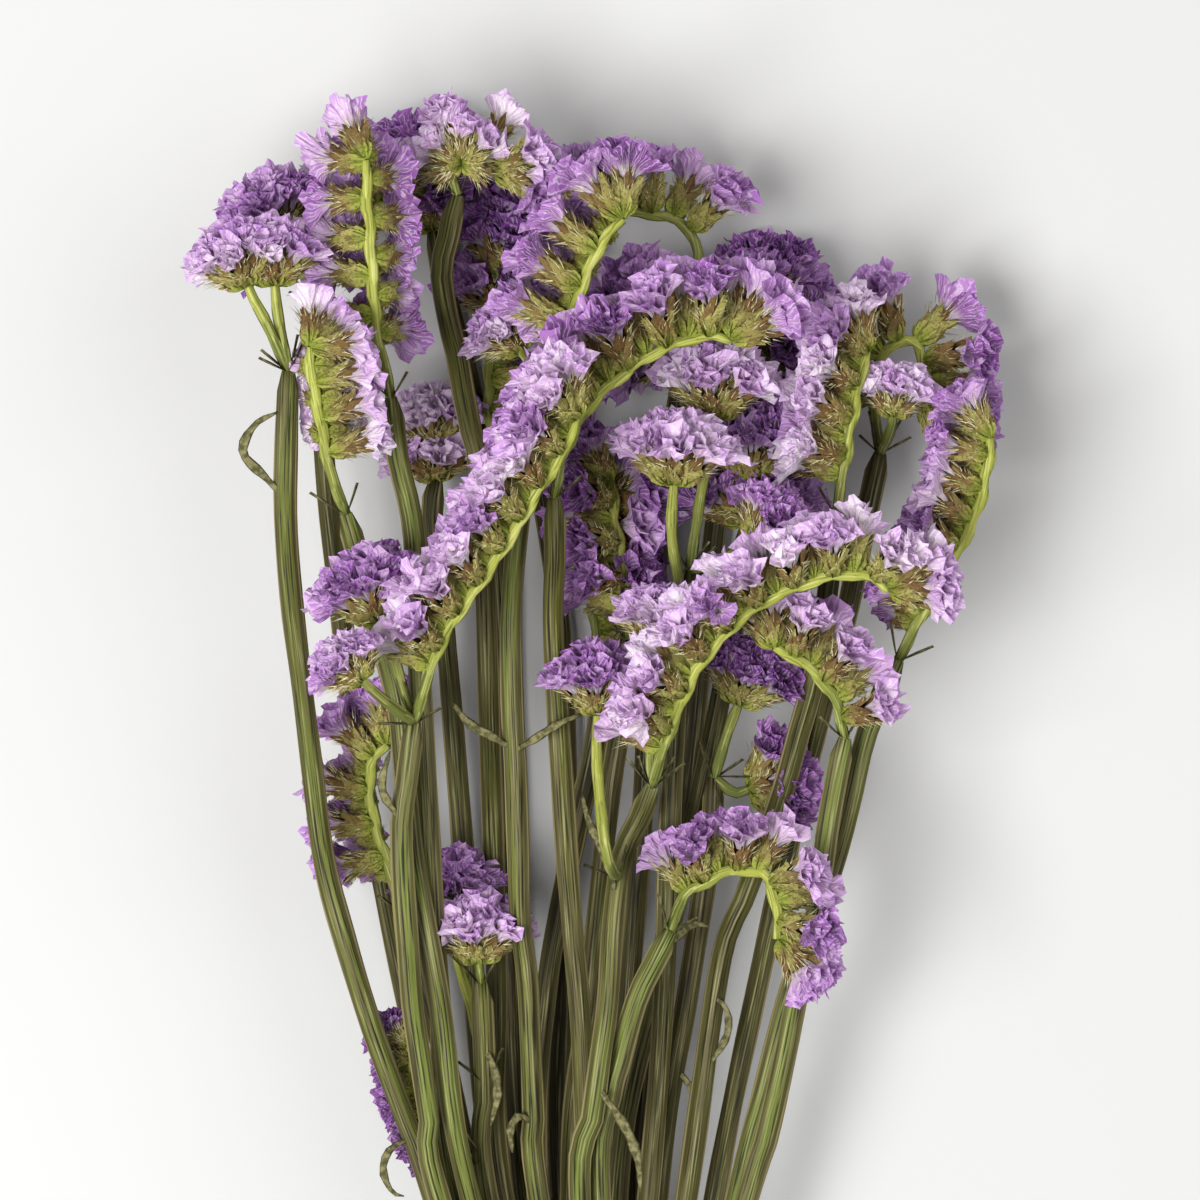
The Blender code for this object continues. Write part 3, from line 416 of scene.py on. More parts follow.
def settle(strands):
    """Raises and lowers the strands until the sprays clear one another."""
    place, wide, tall, bloom, owner, slot = [], [], [], [], [], []
    spans, total = [], 0
    for n, strand in enumerate(strands):
        spans.append(slice(total, total + len(strand["path"])))
        for k, off, w, h, is_bloom in clearances(strand):
            place.append(strand["path"][k] + np.array(off))
            wide.append(w)
            tall.append(h)
            bloom.append(is_bloom)
            owner.append(n)
            slot.append(total + k)
        total += len(strand["path"])
    place, wide, tall = np.array(place), np.array(wide), np.array(tall)
    bloom, owner, slot = np.array(bloom), np.array(owner), np.array(slot)
    level = np.concatenate([s["path"][:, 2] for s in strands])
    held = np.concatenate([s["path"][:, 1] < HELD_END for s in strands])
    offset = place[:, 2] - level[slot]
    group = np.array([strands[n]["spray"] for n in owner])
    names = [s["head"]["bloom"] if s["head"] else "" for s in strands]
    name = np.array([names[n] for n in owner])
    i, j = np.triu_indices(len(place), 1)
    flat_gap = np.hypot(place[i, 0] - place[j, 0], place[i, 1] - place[j, 1])
    reach = wide[i] + wide[j] + 2 * GAP
    same = group[i] == group[j]
    apart = ~same | ((bloom[i] | bloom[j]) & (name[i] != name[j]))
    keep = (flat_gap < reach) & apart
    i, j = i[keep], j[keep]
    need = (tall[i] + tall[j] + 2 * GAP) * np.sqrt(1 - (flat_gap[keep] / reach[keep]) ** 2)
    keys = np.array([sprays[s["spray"]]["depth"] * HEAD_HALF
                     + (s["head"]["lift"] * MILLIMETRE if s["head"] else 0)
                     for s in strands])
    sign = np.where(keys[owner[j]] >= keys[owner[i]], 1.0, -1.0)
    wanted = level.copy()
    low = np.zeros(total)
    np.maximum.at(low, slot, tall - offset - REST_SINK)
    for _ in range(SETTLE_ROUNDS):
        now = level[slot] + offset
        short = need - sign * (now[j] - now[i])
        hit = short > 0
        push = np.zeros(total)
        count = np.full(total, 1e-9)
        for who, way in ((i, -1.0), (j, 1.0)):
            np.add.at(push, slot[who[hit]], way * sign[hit] * short[hit] * 0.5)
            np.add.at(count, slot[who[hit]], 1.0)
        move = push / np.maximum(count, 1.0)
        move += (wanted - level) * PULL_BACK
        for strand, span in zip(strands, spans):
            if strand["root"]:
                number, near = strand["root"]
                move[spans[number].start + near] += 0.5 * float(np.mean(move[span]))
        for span in spans:
            soft = move[span].copy()
            for _ in range(3):
                soft = np.convolve(np.pad(soft, 2, mode="edge"), SOFTEN, mode="valid")
            move[span] = 0.5 * move[span] + 0.5 * soft
        move[held] = 0
        level = np.maximum(level + move, low)
        level[held] = wanted[held]
        for strand, span in zip(strands, spans):
            part = level[span]
            inner = 0.25 * part[:-2] + 0.5 * part[1:-1] + 0.25 * part[2:]
            free = ~held[span][1:-1]
            part[1:-1][free] = ((1 - STRAIGHTEN) * part[1:-1] + STRAIGHTEN * inner)[free]
            if strand["root"]:
                number, near = strand["root"]
                part[0] = level[spans[number].start + near]
    for strand, span in zip(strands, spans):
        strand["path"][:, 2] = level[span]


def link(name, data):
    """A new object in the work collection."""
    made = bpy.data.objects.new(name, data)
    work.objects.link(made)
    return made


def drawn_curve(name, dimensions, points):
    """A curve of straight lines through the points, and its spline."""
    data = bpy.data.curves.new(name, "CURVE")
    data.dimensions = dimensions
    spline = data.splines.new("POLY")
    spline.points.add(len(points) - 1)
    for point, (x, y, z) in zip(spline.points, points):
        point.co = (x, y, z, 1)
    return data, spline


def outline(name, points):
    """A closed profile that the stems are swept with."""
    data, spline = drawn_curve(name, "2D", [(x, y, 0) for x, y in points])
    spline.use_cyclic_u = True
    return link(name, data)


def sweep(path, radii, profile):
    """A closed body: the profile carried along a path."""
    data, spline = drawn_curve("sweep", "3D", path)
    data.twist_mode = "Z_UP"
    data.use_fill_caps = True
    data.bevel_mode = "OBJECT"
    data.bevel_object = profile
    for point, radius in zip(spline.points, radii):
        point.radius = radius
    curve = link("sweep", data)
    bpy.context.view_layer.update()
    seen = curve.evaluated_get(bpy.context.evaluated_depsgraph_get())
    mesh = bpy.data.meshes.new_from_object(seen)
    bpy.data.objects.remove(curve)
    bm = bmesh.new()
    bm.from_mesh(mesh)
    bmesh.ops.remove_doubles(bm, verts=bm.verts, dist=0.000002)
    bmesh.ops.recalc_face_normals(bm, faces=bm.faces)
    bm.to_mesh(mesh)
    bm.free()
    return link("sweep", mesh)


def turned(axis, twist):
    """A turn that takes Z to the axis."""
    return (axis.to_track_quat("Z", "Y").to_matrix().to_4x4()
            @ Matrix.Rotation(twist, 4, "Z"))


# Sizes of the dressing, in metres, and its numbers
PLEATS = 7
CALYX_RINGS = ((0.22, 0.38), (0.50, 0.60), (0.86, 0.82), (1.05, 1.0))
CALYX_LONG = 0.0102
CALYX_RIM = 0.0039
CALYXES = 7
CRUMPLE = 0.00080
TUFT_ROOT = 0.92
CALYX_OUT = 0.0009
SPIKELET_STEP = 0.0048
SCALE_WIDE = 0.0046
SCALE_RINGS = ((0.66, 0.82), (0.86, 0.95), (1.04, 0.85))
SCALES_A_RING = 4
SCALE_LONG = 1.32
STIPULE = (0.0034, 0.0022, 0.0095)
HAIRS = 66
HAIR_LONG = 0.0040
HAIR_THICK = 0.00014
TWINE = 0.0010
TURNS = 6
STEM_TIP = 0.0016
SWAY = 0.00045
CAP_RINGS = ((4, 0.34, 0.50, 0.0004), (7, 0.78, 1.10, 0.0016))
RING_OUT = 0.0012
CROWN_VASES = 11
CROWN_SIZE = 0.72
CROWN_LIFT = (0, -0.002, 0.003)
LOWER_VASES = 6
LEAF_STEP = 0.002
SKIN = 0.0002
PRESSED_BELOW = 0.003
ROUND_SPIKES = ("top_middle",)
DEEP_HEADS = ("back_top", "back_hollow", "back_left", "back_inner", "back_right", "back_low",
              "far_left")
FLOOR_SIZE = 4.0
CAMERA_HIGH = 1.30
FRAME_PX = 1200
SENSOR = 36.0
WORLD_LIGHT = 0.37
LIT_MIDDLE = (0, 0.25, 0)
# Places of the calyx colours on the ramp, darker the higher. Dusky heads stand mostly deep in
# the bunch: their deeper violet is partly their own colour and partly painted shade.
TINTS = {"lilac": 0.22, "violet": 0.50, "dusky": 0.74}

# What each face is painted as on a green piece
STEM, VASE, HAIR, TWIG, LEAF, CUT = range(6)


class Shape:
    """A small shape that is repeated: its places, faces, height along it and side."""

    def __init__(self, bm, side):
        bm.verts.index_update()
        self.co = np.array([v.co[:] for v in bm.verts])
        self.faces = np.array(sorted([v.index for v in f.verts] for f in bm.faces))
        self.height = self.co[:, 2].copy()
        self.side = side(self.co)
        bm.free()


def calyx_shape():
    """A funnel of tissue: rings drawn up and out from a small circle."""
    bm = bmesh.new()
    bmesh.ops.create_circle(bm, segments=2 * PLEATS, radius=0.10)
    edges = list(bm.edges)
    for radius, height in CALYX_RINGS:
        drawn = bmesh.ops.extrude_edge_only(bm, edges=edges)["geom"]
        ring = [v for v in drawn if isinstance(v, bmesh.types.BMVert)]
        edges = [e for e in drawn if isinstance(e, bmesh.types.BMEdge)]
        for v in ring:
            angle = math.atan2(v.co.y, v.co.x)
            v.co = Vector((radius * math.cos(angle), radius * math.sin(angle), height))
    bmesh.ops.recalc_face_normals(bm, faces=bm.faces)
    return Shape(bm, lambda co: np.arctan2(co[:, 1], co[:, 0]))


def scale_shape():
    """One pointed bract scale, boat-shaped, from its root to its tip."""
    bm = bmesh.new()
    bmesh.ops.create_grid(bm, x_segments=2, y_segments=5, size=1.0)
    for v in bm.verts:
        t = (v.co.y + 1) / 2
        x = v.co.x
        width = 0.16 + 0.46 * math.sin(math.pi * t ** 0.8) ** 1.2
        out = 0.12 + 0.88 * t ** 0.75
        v.co = Vector((x * width * (1 - t ** 4), -out * (1 - 0.34 * abs(x)), t))
    return Shape(bm, lambda co: co[:, 0].copy())


def hair_shape():
    """A fine bristle."""
    bm = bmesh.new()
    bmesh.ops.create_cone(bm, segments=3, radius1=1.0, radius2=0, depth=1.0,
                          matrix=Matrix.Translation((0, 0, 0.5)))
    bmesh.ops.triangulate(bm, faces=bm.faces)
    return Shape(bm, lambda co: co[:, 0].copy())


class Piece:
    """Gathers shapes and swept bodies into one dressed object."""

    def __init__(self):
        self.co, self.faces, self.paint, self.data = [], [], [], []
        self.total = 0

    def put(self, co, faces, paint, height, side, tint):
        """Adds placed vertices, with what the materials read from them."""
        self.co.append(co)
        self.faces.append([tuple(int(i) + self.total for i in f) for f in faces])
        self.paint += [paint] * len(faces)
        self.data.append(np.c_[height, side, np.full(len(co), tint)])
        self.total += len(co)

    def finish(self, name, node, slot_name, materials, smooth_paints=()):
        """The object that is shown in place of its CAD node."""
        mesh = bpy.data.meshes.new(name)
        co = np.vstack(self.co)
        low = co[:, 2] < PRESSED_BELOW
        co[low, 2] = PRESSED_BELOW * np.exp((co[low, 2] - PRESSED_BELOW) / PRESSED_BELOW)
        mesh.from_pydata(co.tolist(), [], [f for part in self.faces for f in part])
        data = np.vstack(self.data)
        for k, label in enumerate(("height", "side", "tint")):
            layer = mesh.attributes.new(label, "FLOAT", "POINT")
            layer.data.foreach_set("value", data[:, k].astype(np.float32))
        for material in materials:
            mesh.materials.append(material)
        mesh.polygons.foreach_set("material_index", np.array(self.paint, np.int32))
        mesh.polygons.foreach_set("use_smooth", np.isin(self.paint, smooth_paints))
        mesh.update()
        made = bpy.data.objects.new(name, mesh)
        bpy.context.scene.collection.objects.link(made)
        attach(made, "root")
        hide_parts(node)
        return made


def placed(co, at, axis, twist):
    """Points taken from upright at the origin to a place and an axis."""
    turn = np.array(turned(Vector(axis), twist).to_3x3())
    return co @ turn.T + np.array(at)


def add_calyx(piece, at, axis, size, chance, tint):
    """One calyx with its own pleats and crumples."""
    u, angle = funnel.height, funnel.side
    low = np.clip(u, 0, 1) ** 1.6
    number = np.round(angle / (math.pi / PLEATS)).astype(int)
    pleat = np.where(number % 2 == 0, 1.0, -1.0)
    phase = [chance.uniform(0, 6.28) for _ in range(4)]
    swell = (1 + low * (0.15 * pleat + 0.16 * np.sin(5 * angle + phase[0])
                        + 0.16 * np.sin(3 * angle + phase[1])
                        + 0.14 * np.sin(2 * angle + phase[2])))
    rim = CALYX_RIM * size
    long = CALYX_LONG * size * chance.uniform(0.86, 1.08)
    co = np.empty_like(funnel.co)
    for k in (0, 1):
        co[:, k] = funnel.co[:, k] * rim * swell * chance.uniform(0.75, 1.1)
    co[:, 2] = (u + low * (0.05 * np.sin(5 * angle + phase[3])
                           + 0.07 * np.sin(3 * angle - phase[0])
                           - 0.02 * pleat)) * long
    rough = np.array([chance.uniform(-1, 1) for _ in range(len(co) * 3)]).reshape(-1, 3)
    co += rough * (low * CRUMPLE * size)[:, None]
    bend = chance.uniform(-0.1, 0.35)
    co[:, 0] += bend * co[:, 2] * low
    piece.put(placed(co, at, axis, chance.uniform(0, 6.28)), funnel.faces, 0, u,
              np.abs(angle), tint)


def add_spikelet(green, at, axis, length, wide, chance, tint):
    """A vase of pointed bracts with bristles, sunk at its root."""
    for n in range(SCALES_A_RING * len(SCALE_RINGS)):
        ring = n // SCALES_A_RING
        part_long, part_wide = SCALE_RINGS[ring]
        grow = length * part_long * chance.uniform(0.85, 1.12)
        girth = wide * part_wide * chance.uniform(0.82, 1.15)
        co = scale.co * np.array([wide * 1.1, girth, grow])
        twist = n * math.pi / 2 + ring * 0.8 + chance.uniform(-0.35, 0.35)
        green.put(placed(co, at, axis, twist), scale.faces, VASE, scale.height, scale.side,
                  tint + 0.3 * ring + chance.uniform(-0.2, 0.2))
    frame_turn = turned(Vector(axis), 0).to_3x3()
    for _ in range(HAIRS):
        angle, up = chance.uniform(0, 6.28), chance.uniform(0.15, 0.95)
        spread = wide * (0.12 + 0.76 * up ** 0.75)
        local = Vector((math.cos(angle) * spread, math.sin(angle) * spread, length * up))
        flare = chance.uniform(0.3, 1.3)
        way = Vector((math.cos(angle) * flare, math.sin(angle) * flare, 1.0)).normalized()
        co = bristle.co * np.array([HAIR_THICK, HAIR_THICK,
                                    HAIR_LONG * chance.uniform(0.4, 1.1)])
        green.put(placed(co, Vector(at) + frame_turn @ local, frame_turn @ way, angle),
                  bristle.faces, HAIR, bristle.height, bristle.side, chance.random())


def add_tuft(purple, at, axis, size, chance, tint):
    """The calyxes that stand out of one vase of bracts."""
    axis = Vector(axis)
    side = axis.orthogonal().normalized()
    for n in range(CALYXES):
        out = Matrix.Rotation(n * 2 * math.pi / CALYXES + chance.uniform(-0.4, 0.4), 3,
                              axis) @ side
        spread = 0.04 if n == 0 else chance.uniform(0.10, 0.42)
        way = (axis + out * spread).normalized()
        root = Vector(at) + out * CALYX_OUT * size
        add_calyx(purple, root, way, size * chance.uniform(0.72, 1.04), chance,
                  tint + chance.uniform(-0.14, 0.14))


def swept_mesh(path, radii, profile):
    """A swept body's places and faces."""
    made = sweep(path, radii, profile)
    mesh = made.data
    co = np.empty(len(mesh.vertices) * 3)
    mesh.vertices.foreach_get("co", co)
    faces = [tuple(p.vertices) for p in mesh.polygons]
    bpy.data.objects.remove(made)
    bpy.data.meshes.remove(mesh)
    return co.reshape(-1, 3), faces


def near_path(co, path):
    """How far along a path each point is, from 0 to 1, and how far to its left."""
    gap = np.linalg.norm(co[:, None, :] - path[None, :, :], axis=2)
    near = np.argmin(gap, axis=1)
    left = np.array([(-way.y, way.x, 0) for way in frames(path)])
    return near / (len(path) - 1), np.sum((co - path[near]) * left[near], axis=1)


def dress_green(node, members, strands):
    """One green node: the sprays in it, each dressed, and the bars inside the tie."""
    green = Piece()
    for i in members:
        dress_spray(green, i, strands)
    places = tie_places()
    line = sorted(places[i] for i in members)
    for (xa, za), (xb, zb) in zip(line, line[1:]):
        co, faces = swept_mesh(np.array([(xa, 0, za), (xb, 0, zb)]), [BRANCH] * 2,
                               branch_outline)
        nothing = np.zeros(len(co))
        green.put(co, faces, STEM, nothing, nothing, 0.5)
    green.finish(node.split("_spray")[0] + "_leafy", node,
                 "stem_" + sprays[members[0]]["paint"], green_paints, (STEM, HAIR, TWIG, LEAF))


def smooth_radii(radii, path):
    """The radii at the finer stations of a smoothed path."""
    count = len(smooth(path, SAMPLE / 2))
    return np.interp(np.linspace(0, len(radii) - 1, count), np.arange(len(radii)), radii)


def dress_stem(green, i, path, tint, chance):
    """The winged stem of one spray, with pith at its cut end."""
    wave = chance.uniform(0, 6)
    radii = []
    for k, p in enumerate(path):
        far = min(1, max(0, (p[1] - 0.02) / 0.03))
        radii.append((STEM_TIED + (STEM_WIDE * 1.08 - STEM_TIED) * far)
                     * (1 + 0.05 * far * math.sin(k * 0.31 + wave)
                        + 0.03 * far * math.sin(k * 0.83 + wave)))
    radii[-1] = STEM_TIP
    co, faces = swept_mesh(path, radii, stem_outlines[i % len(stem_outlines)])
    along, across = near_path(co, path)
    run = along * SAMPLE * (len(path) - 1)
    cut = co[:, 1] < CUT_END + SKIN
    for paint in (STEM, CUT):
        shown = [f for f in faces if cut[list(f)].all() == (paint == CUT)]
        green.put(co, shown, paint, run, across / STEM_WIDE, tint)


def dress_branch(green, strand, tint, chance):
    """One branch: its twig, the scales at its fork and its vases of bracts."""
    path, head = strand["path"], strand["head"]
    size = head["size"]
    knots = path.copy()
    if head["kind"] == "spike":
        sway = SWAY * (-1.0) ** np.arange(len(path) - head["start"])
        for k, way in enumerate(frames(path)[head["start"]:]):
            knots[head["start"] + k] += np.array((-way.y, way.x, 0)) * sway[k]
    radii = [BRANCH * (1.0 if k % 2 else 0.86) for k in range(len(path))]
    radii[-1] = BRANCH * 0.7
    co, faces = swept_mesh(smooth(knots, SAMPLE / 2), smooth_radii(radii, knots),
                           branch_outline)
    along, across = near_path(co, path)
    green.put(co, faces, TWIG, along * SAMPLE * (len(path) - 1), across / BRANCH, tint)
    way = frames(path)[0]
    for turn in (-0.5, 0.5):
        axis = (Matrix.Rotation(turn, 3, "Z") @ way + Vector((0, 0, 0.35))).normalized()
        wide, thick, long = STIPULE
        co = scale.co * np.array([wide, thick, long * chance.uniform(0.7, 1.2)])
        green.put(placed(co, path[0], axis, turn * 3), scale.faces, LEAF, scale.height,
                  scale.side, tint)
    for at, axis, part in spikelet_places(strand):
        add_spikelet(green, np.array(at) + np.array(axis) * SKIN, axis,
                     BRACT * SCALE_LONG * size * part, SCALE_WIDE * size * part, chance,
                     chance.random() * 0.5)


def dress_leaf(green, stem, blade, tint):
    """One dry leaf, curled away from its stem."""
    path = smooth([flat(p) for p in blade["path"]], LEAF_STEP)
    near = int(np.argmin(np.linalg.norm(stem[:, :2] - path[0], axis=1)))
    along = np.linspace(0, 1, len(path))
    heights = stem[near, 2] + blade["lift"] * MILLIMETRE * np.sin(along * 2.4)
    path = np.c_[path, heights]
    path[0] = stem[near]
    radii = blade["wide"] * 0.50 * np.clip(np.sin(0.35 + along * 2.6), 0.12, 1)
    co, faces = swept_mesh(path, radii * (1 + 0.16 * np.sin(along * 23)), bladed)
    away, across = near_path(co, path)
    green.put(co, faces, LEAF, away, across / blade["wide"], tint)


def dress_spray(green, i, strands):
    """One spray: winged stem, branches, vases of bracts and dry leaves."""
    chance = random.Random(500 + i)
    s = sprays[i]
    # Painted shade: the further back a spray lies, the darker its stems and branches; olive
    # sprays are darker as well, partly their own olive tone and partly painted shade. A random
    # tone is added on top.
    depth_shade_and_olive_tone = 0.30 - 0.25 * s["depth"] + (0.25 if s["paint"] == "olive" else 0.0)
    tint = depth_shade_and_olive_tone + chance.uniform(-0.12, 0.12)
    stem, *branches = [strand for strand in strands if strand["spray"] == i]
    dress_stem(green, i, stem["path"], tint, chance)
    for branch in branches:
        dress_branch(green, branch, tint, chance)
    for blade in s["leaves"]:
        dress_leaf(green, stem["path"], blade, tint)


def spike_places(head, path, ways, chance):
    """Along a spike: vases left and right in turn, more at its end and round a crown."""
    out = []
    start = head["start"]
    run = SAMPLE * (len(path) - 1 - start)
    steep = abs(math.sin(head["tilt"]))
    count = max(3, int(round(run / (SPIKELET_STEP * head["size"]))) + 1)
    for n, at in enumerate(np.linspace(start, len(path) - 1, count)):
        k = min(int(at), len(path) - 2)
        t = at - k
        place = Vector(path[k] * (1 - t) + path[k + 1] * t)
        way = ways[k].lerp(ways[k + 1], t).normalized()
        axis = flower_axis(head, way)
        cross = way.cross(axis).normalized()
        lean = 0.48 + 0.45 * steep
        lean = (lean if n % 2 else -lean) + chance.uniform(-0.12, 0.12)
        along = way * chance.uniform(0.0, 0.3)
        out.append((place, (axis + cross * lean + along).normalized(), 1.0))
        if n % 2 and steep > 0.5:
            off = chance.uniform(-0.2, 0.2)
            out.append((place, (axis + cross * off + along).normalized(), 1.0))
    up = flower_axis(head, ways[-1])
    for turn in (-0.5, 0.1, 0.7):
        aside = ways[-1].cross(up) * (0.5 * math.cos(turn * 9))
        axis = ways[-1] * (0.9 + turn) + up + aside
        out.append((Vector(path[-1]), axis.normalized(), 1.0))
    if head["bloom"] in ROUND_SPIKES:
        crown = Vector(path[(start + len(path) - 1) // 2]) + Vector(CROWN_LIFT)
        for n in range(CROWN_VASES):
            turn = -0.5 + 0.42 * n
            axis = Vector((math.cos(turn), math.sin(turn), 0.45 if n % 2 else 0.0))
            out.append((crown, axis.normalized(), CROWN_SIZE))
    return out


def cap_places(head, path, ways, chance):
    """On a round head: one vase in the middle, two rings, and a lower one at the back."""
    size = head["size"]
    axis = ways[-1]
    side = Vector((0, 0, -1))
    side = (side - axis * side.dot(axis)).normalized()
    end = Vector(path[-1])
    out = [(end, axis, 1.0)]
    for count, low, high, sink in CAP_RINGS:
        for n in range(count):
            turn = Matrix.Rotation((n + 0.4) * 2 * math.pi / count, 3, axis) @ side
            way = (axis + turn * chance.uniform(low, high)).normalized()
            out.append((end - axis * sink * size + turn * RING_OUT * size, way, 1.0))
    if head["bloom"] in DEEP_HEADS:
        for n in range(LOWER_VASES):
            turn = Matrix.Rotation((n + 0.2) * 2 * math.pi / LOWER_VASES, 3, axis) @ side
            way = (axis * chance.uniform(0.3, 0.7) + turn).normalized()
            out.append((Vector(path[-3]), way, 1.0))
    return out


def spikelet_places(strand):
    """Where the vases of bracts of a head stand: place, axis and relative size."""
    head, path = strand["head"], strand["path"]
    chance = random.Random(str(head["path"]))
    places = spike_places if head["kind"] == "spike" else cap_places
    return places(head, path, frames(path), chance)


def dress_bloom(name, strands):
    """The papery calyxes of one head."""
    purple = Piece()
    chance = random.Random(name)
    shade = ""
    for strand in strands:
        head = strand["head"]
        if not head or head["bloom"] != name:
            continue
        shade = head["shade"]
        size = head["size"]
        # Dusky heads take the darker place on the ramp, partly as painted shade.
        tint = TINTS[shade] + chance.uniform(-0.06, 0.06)
        for at, axis, part in spikelet_places(strand):
            if part == CROWN_SIZE and axis.y < 0.1:
                continue
            root = Vector(at) + axis * BRACT * size * TUFT_ROOT * part
            add_tuft(purple, root, axis, size * part, chance,
                     tint + chance.uniform(-0.18, 0.18))
    purple.finish(name + "_petals", name + "_bloom", "calyx_" + shade, [calyx_paint])


class Value:
    """A shader socket that can be reckoned with."""

    def __init__(self, nodes, socket):
        self.nodes, self.socket = nodes, socket

    def math(self, operation, *others):
        """One step of arithmetic on this socket."""
        return self.nodes.make("ShaderNodeMath", {"operation": operation}, self, *others)

    def __add__(self, other):
        return self.math("ADD", other)

    def __sub__(self, other):
        return self.math("SUBTRACT", other)

    def __rsub__(self, other):
        return self.nodes.make("ShaderNodeMath", {"operation": "SUBTRACT"}, other, self)

    def __mul__(self, other):
        return self.math("MULTIPLY", other)

    __radd__ = __add__
    __rmul__ = __mul__


class Nodes:
    """One material's node tree."""

    def __init__(self, name):
        self.material = bpy.data.materials.new(name)
        self.material.use_nodes = True
        self.tree = self.material.node_tree
        self.tree.nodes.clear()

    def fill(self, socket, value):
        """Links a socket, or sets it."""
        if isinstance(value, Value):
            self.tree.links.new(value.socket, socket)
            return
        if isinstance(value, tuple) and socket.type == "RGBA":
            value = (*value, 1)
        socket.default_value = value

    def make(self, kind, settings=None, *values, out=0, **named):
        """Any node: its settings first, then its sockets' values or links."""
        node = self.tree.nodes.new(kind)
        for key, value in (settings or {}).items():
            if key == "stops":
                ramp = node.color_ramp
                while len(ramp.elements) < len(value):
                    ramp.elements.new(0.5)
                for element, (at, colour) in zip(ramp.elements, value):
                    element.position = at
                    element.color = (*colour, 1)
            else:
                setattr(node, key, value)
        for key, value in [*enumerate(values), *named.items()]:
            self.fill(node.inputs[key], value)
        return Value(self, node.outputs[out])

    def read(self, label):
        """An attribute of the piece."""
        return self.make("ShaderNodeAttribute", {"attribute_name": label}, out=2)

    def mix(self, factor, a, b):
        """Two colours mixed."""
        node = self.tree.nodes.new("ShaderNodeMix")
        node.data_type = "RGBA"
        for index, value in ((0, factor), (6, a), (7, b)):
            self.fill(node.inputs[index], value)
        return Value(self, node.outputs[2])

    def clamp(self, value, low, high):
        """0 at low and 1 at high, held between."""
        return self.make("ShaderNodeMapRange", {"interpolation_type": "SMOOTHSTEP"}, value,
                         low, high, 0.0, 1.0)

    def noise(self, scale_by, detail=3.0):
        """Noise on object coordinates."""
        where = self.make("ShaderNodeTexCoord", out=3)
        return self.make("ShaderNodeTexNoise", None, Vector=where, Scale=scale_by,
                         Detail=detail)

    def surface(self, colour, rough, bump=None, light_through=0.0):
        """The finish: a Principled surface, with some light let through thin tissue."""
        named = {"Base Color": colour, "Roughness": rough, "Specular IOR Level": 0.2}
        if bump is not None:
            named["Normal"] = self.make("ShaderNodeBump", None, Height=bump, Strength=0.5,
                                        Distance=0.0004)
        result = self.make("ShaderNodeBsdfPrincipled", None, **named)
        if light_through:
            thin = self.make("ShaderNodeBsdfTranslucent", None, colour)
            result = self.make("ShaderNodeMixShader", None, light_through, result, thin)
        end = self.tree.nodes.new("ShaderNodeOutputMaterial")
        self.tree.links.new(result.socket, end.inputs[0])
        return self.material


def paint_calyx():
    """Lilac tissue: pale throat and veins, painted shade in the inward pleat creases, deeper
    frilled rim, each calyx its own tone; dusky heads darker, partly as painted shade.
    """
    n = Nodes("calyx_tissue")
    height, angle, tint = n.read("height"), n.read("side"), n.read("tint")
    patch = n.noise(60.0)
    fine = n.noise(1100.0)
    shade = n.make("ShaderNodeValToRGB", {"stops": (
        (0.0, (0.80, 0.70, 0.77)), (0.25, (0.68, 0.48, 0.69)), (0.5, (0.47, 0.25, 0.53)),
        (0.75, (0.26, 0.095, 0.31)), (1.0, (0.10, 0.03, 0.14)))},
        tint + (patch - 0.5) * 0.9)
    crumple = n.noise(420.0)
    vein = (angle * (3.0 * PLEATS) + (crumple - 0.5) * 16.0).math("COSINE")
    fold = (angle * float(PLEATS)).math("COSINE")
    body = n.mix(n.clamp(vein, 0.1, 1.0) * n.clamp(height, 0.35, 0.7) * 0.36, shade,
                 (0.90, 0.83, 0.91))
    # Painted shade: darker violet in the inward pleat creases.
    body = n.mix(n.clamp(fold, -0.3, -1.0) * 0.30, body, (0.22, 0.06, 0.36))
    throat = n.clamp(height, 0.62, 0.36)
    body = n.mix(throat * 0.65, body, (0.66, 0.60, 0.60))
    edge = n.clamp(height + (fine - 0.5) * 0.3, 0.86, 1.05)
    body = n.mix(edge * 0.5, body, n.mix(tint, (0.60, 0.34, 0.76), (0.36, 0.08, 0.50)))
    return n.surface(body, 0.55 + 0.2 * fine, vein * 0.4 + crumple * 2.0, 0.26)


def drawn_noise(n, run, across, fine, long, detail):
    """Noise drawn out along a stem, from its own run and width."""
    where = n.make("ShaderNodeCombineXYZ", None, across * fine, run * long,
                   n.read("tint") * 40.0)
    return n.make("ShaderNodeTexNoise", None, Vector=where, Scale=1.0, Detail=detail)


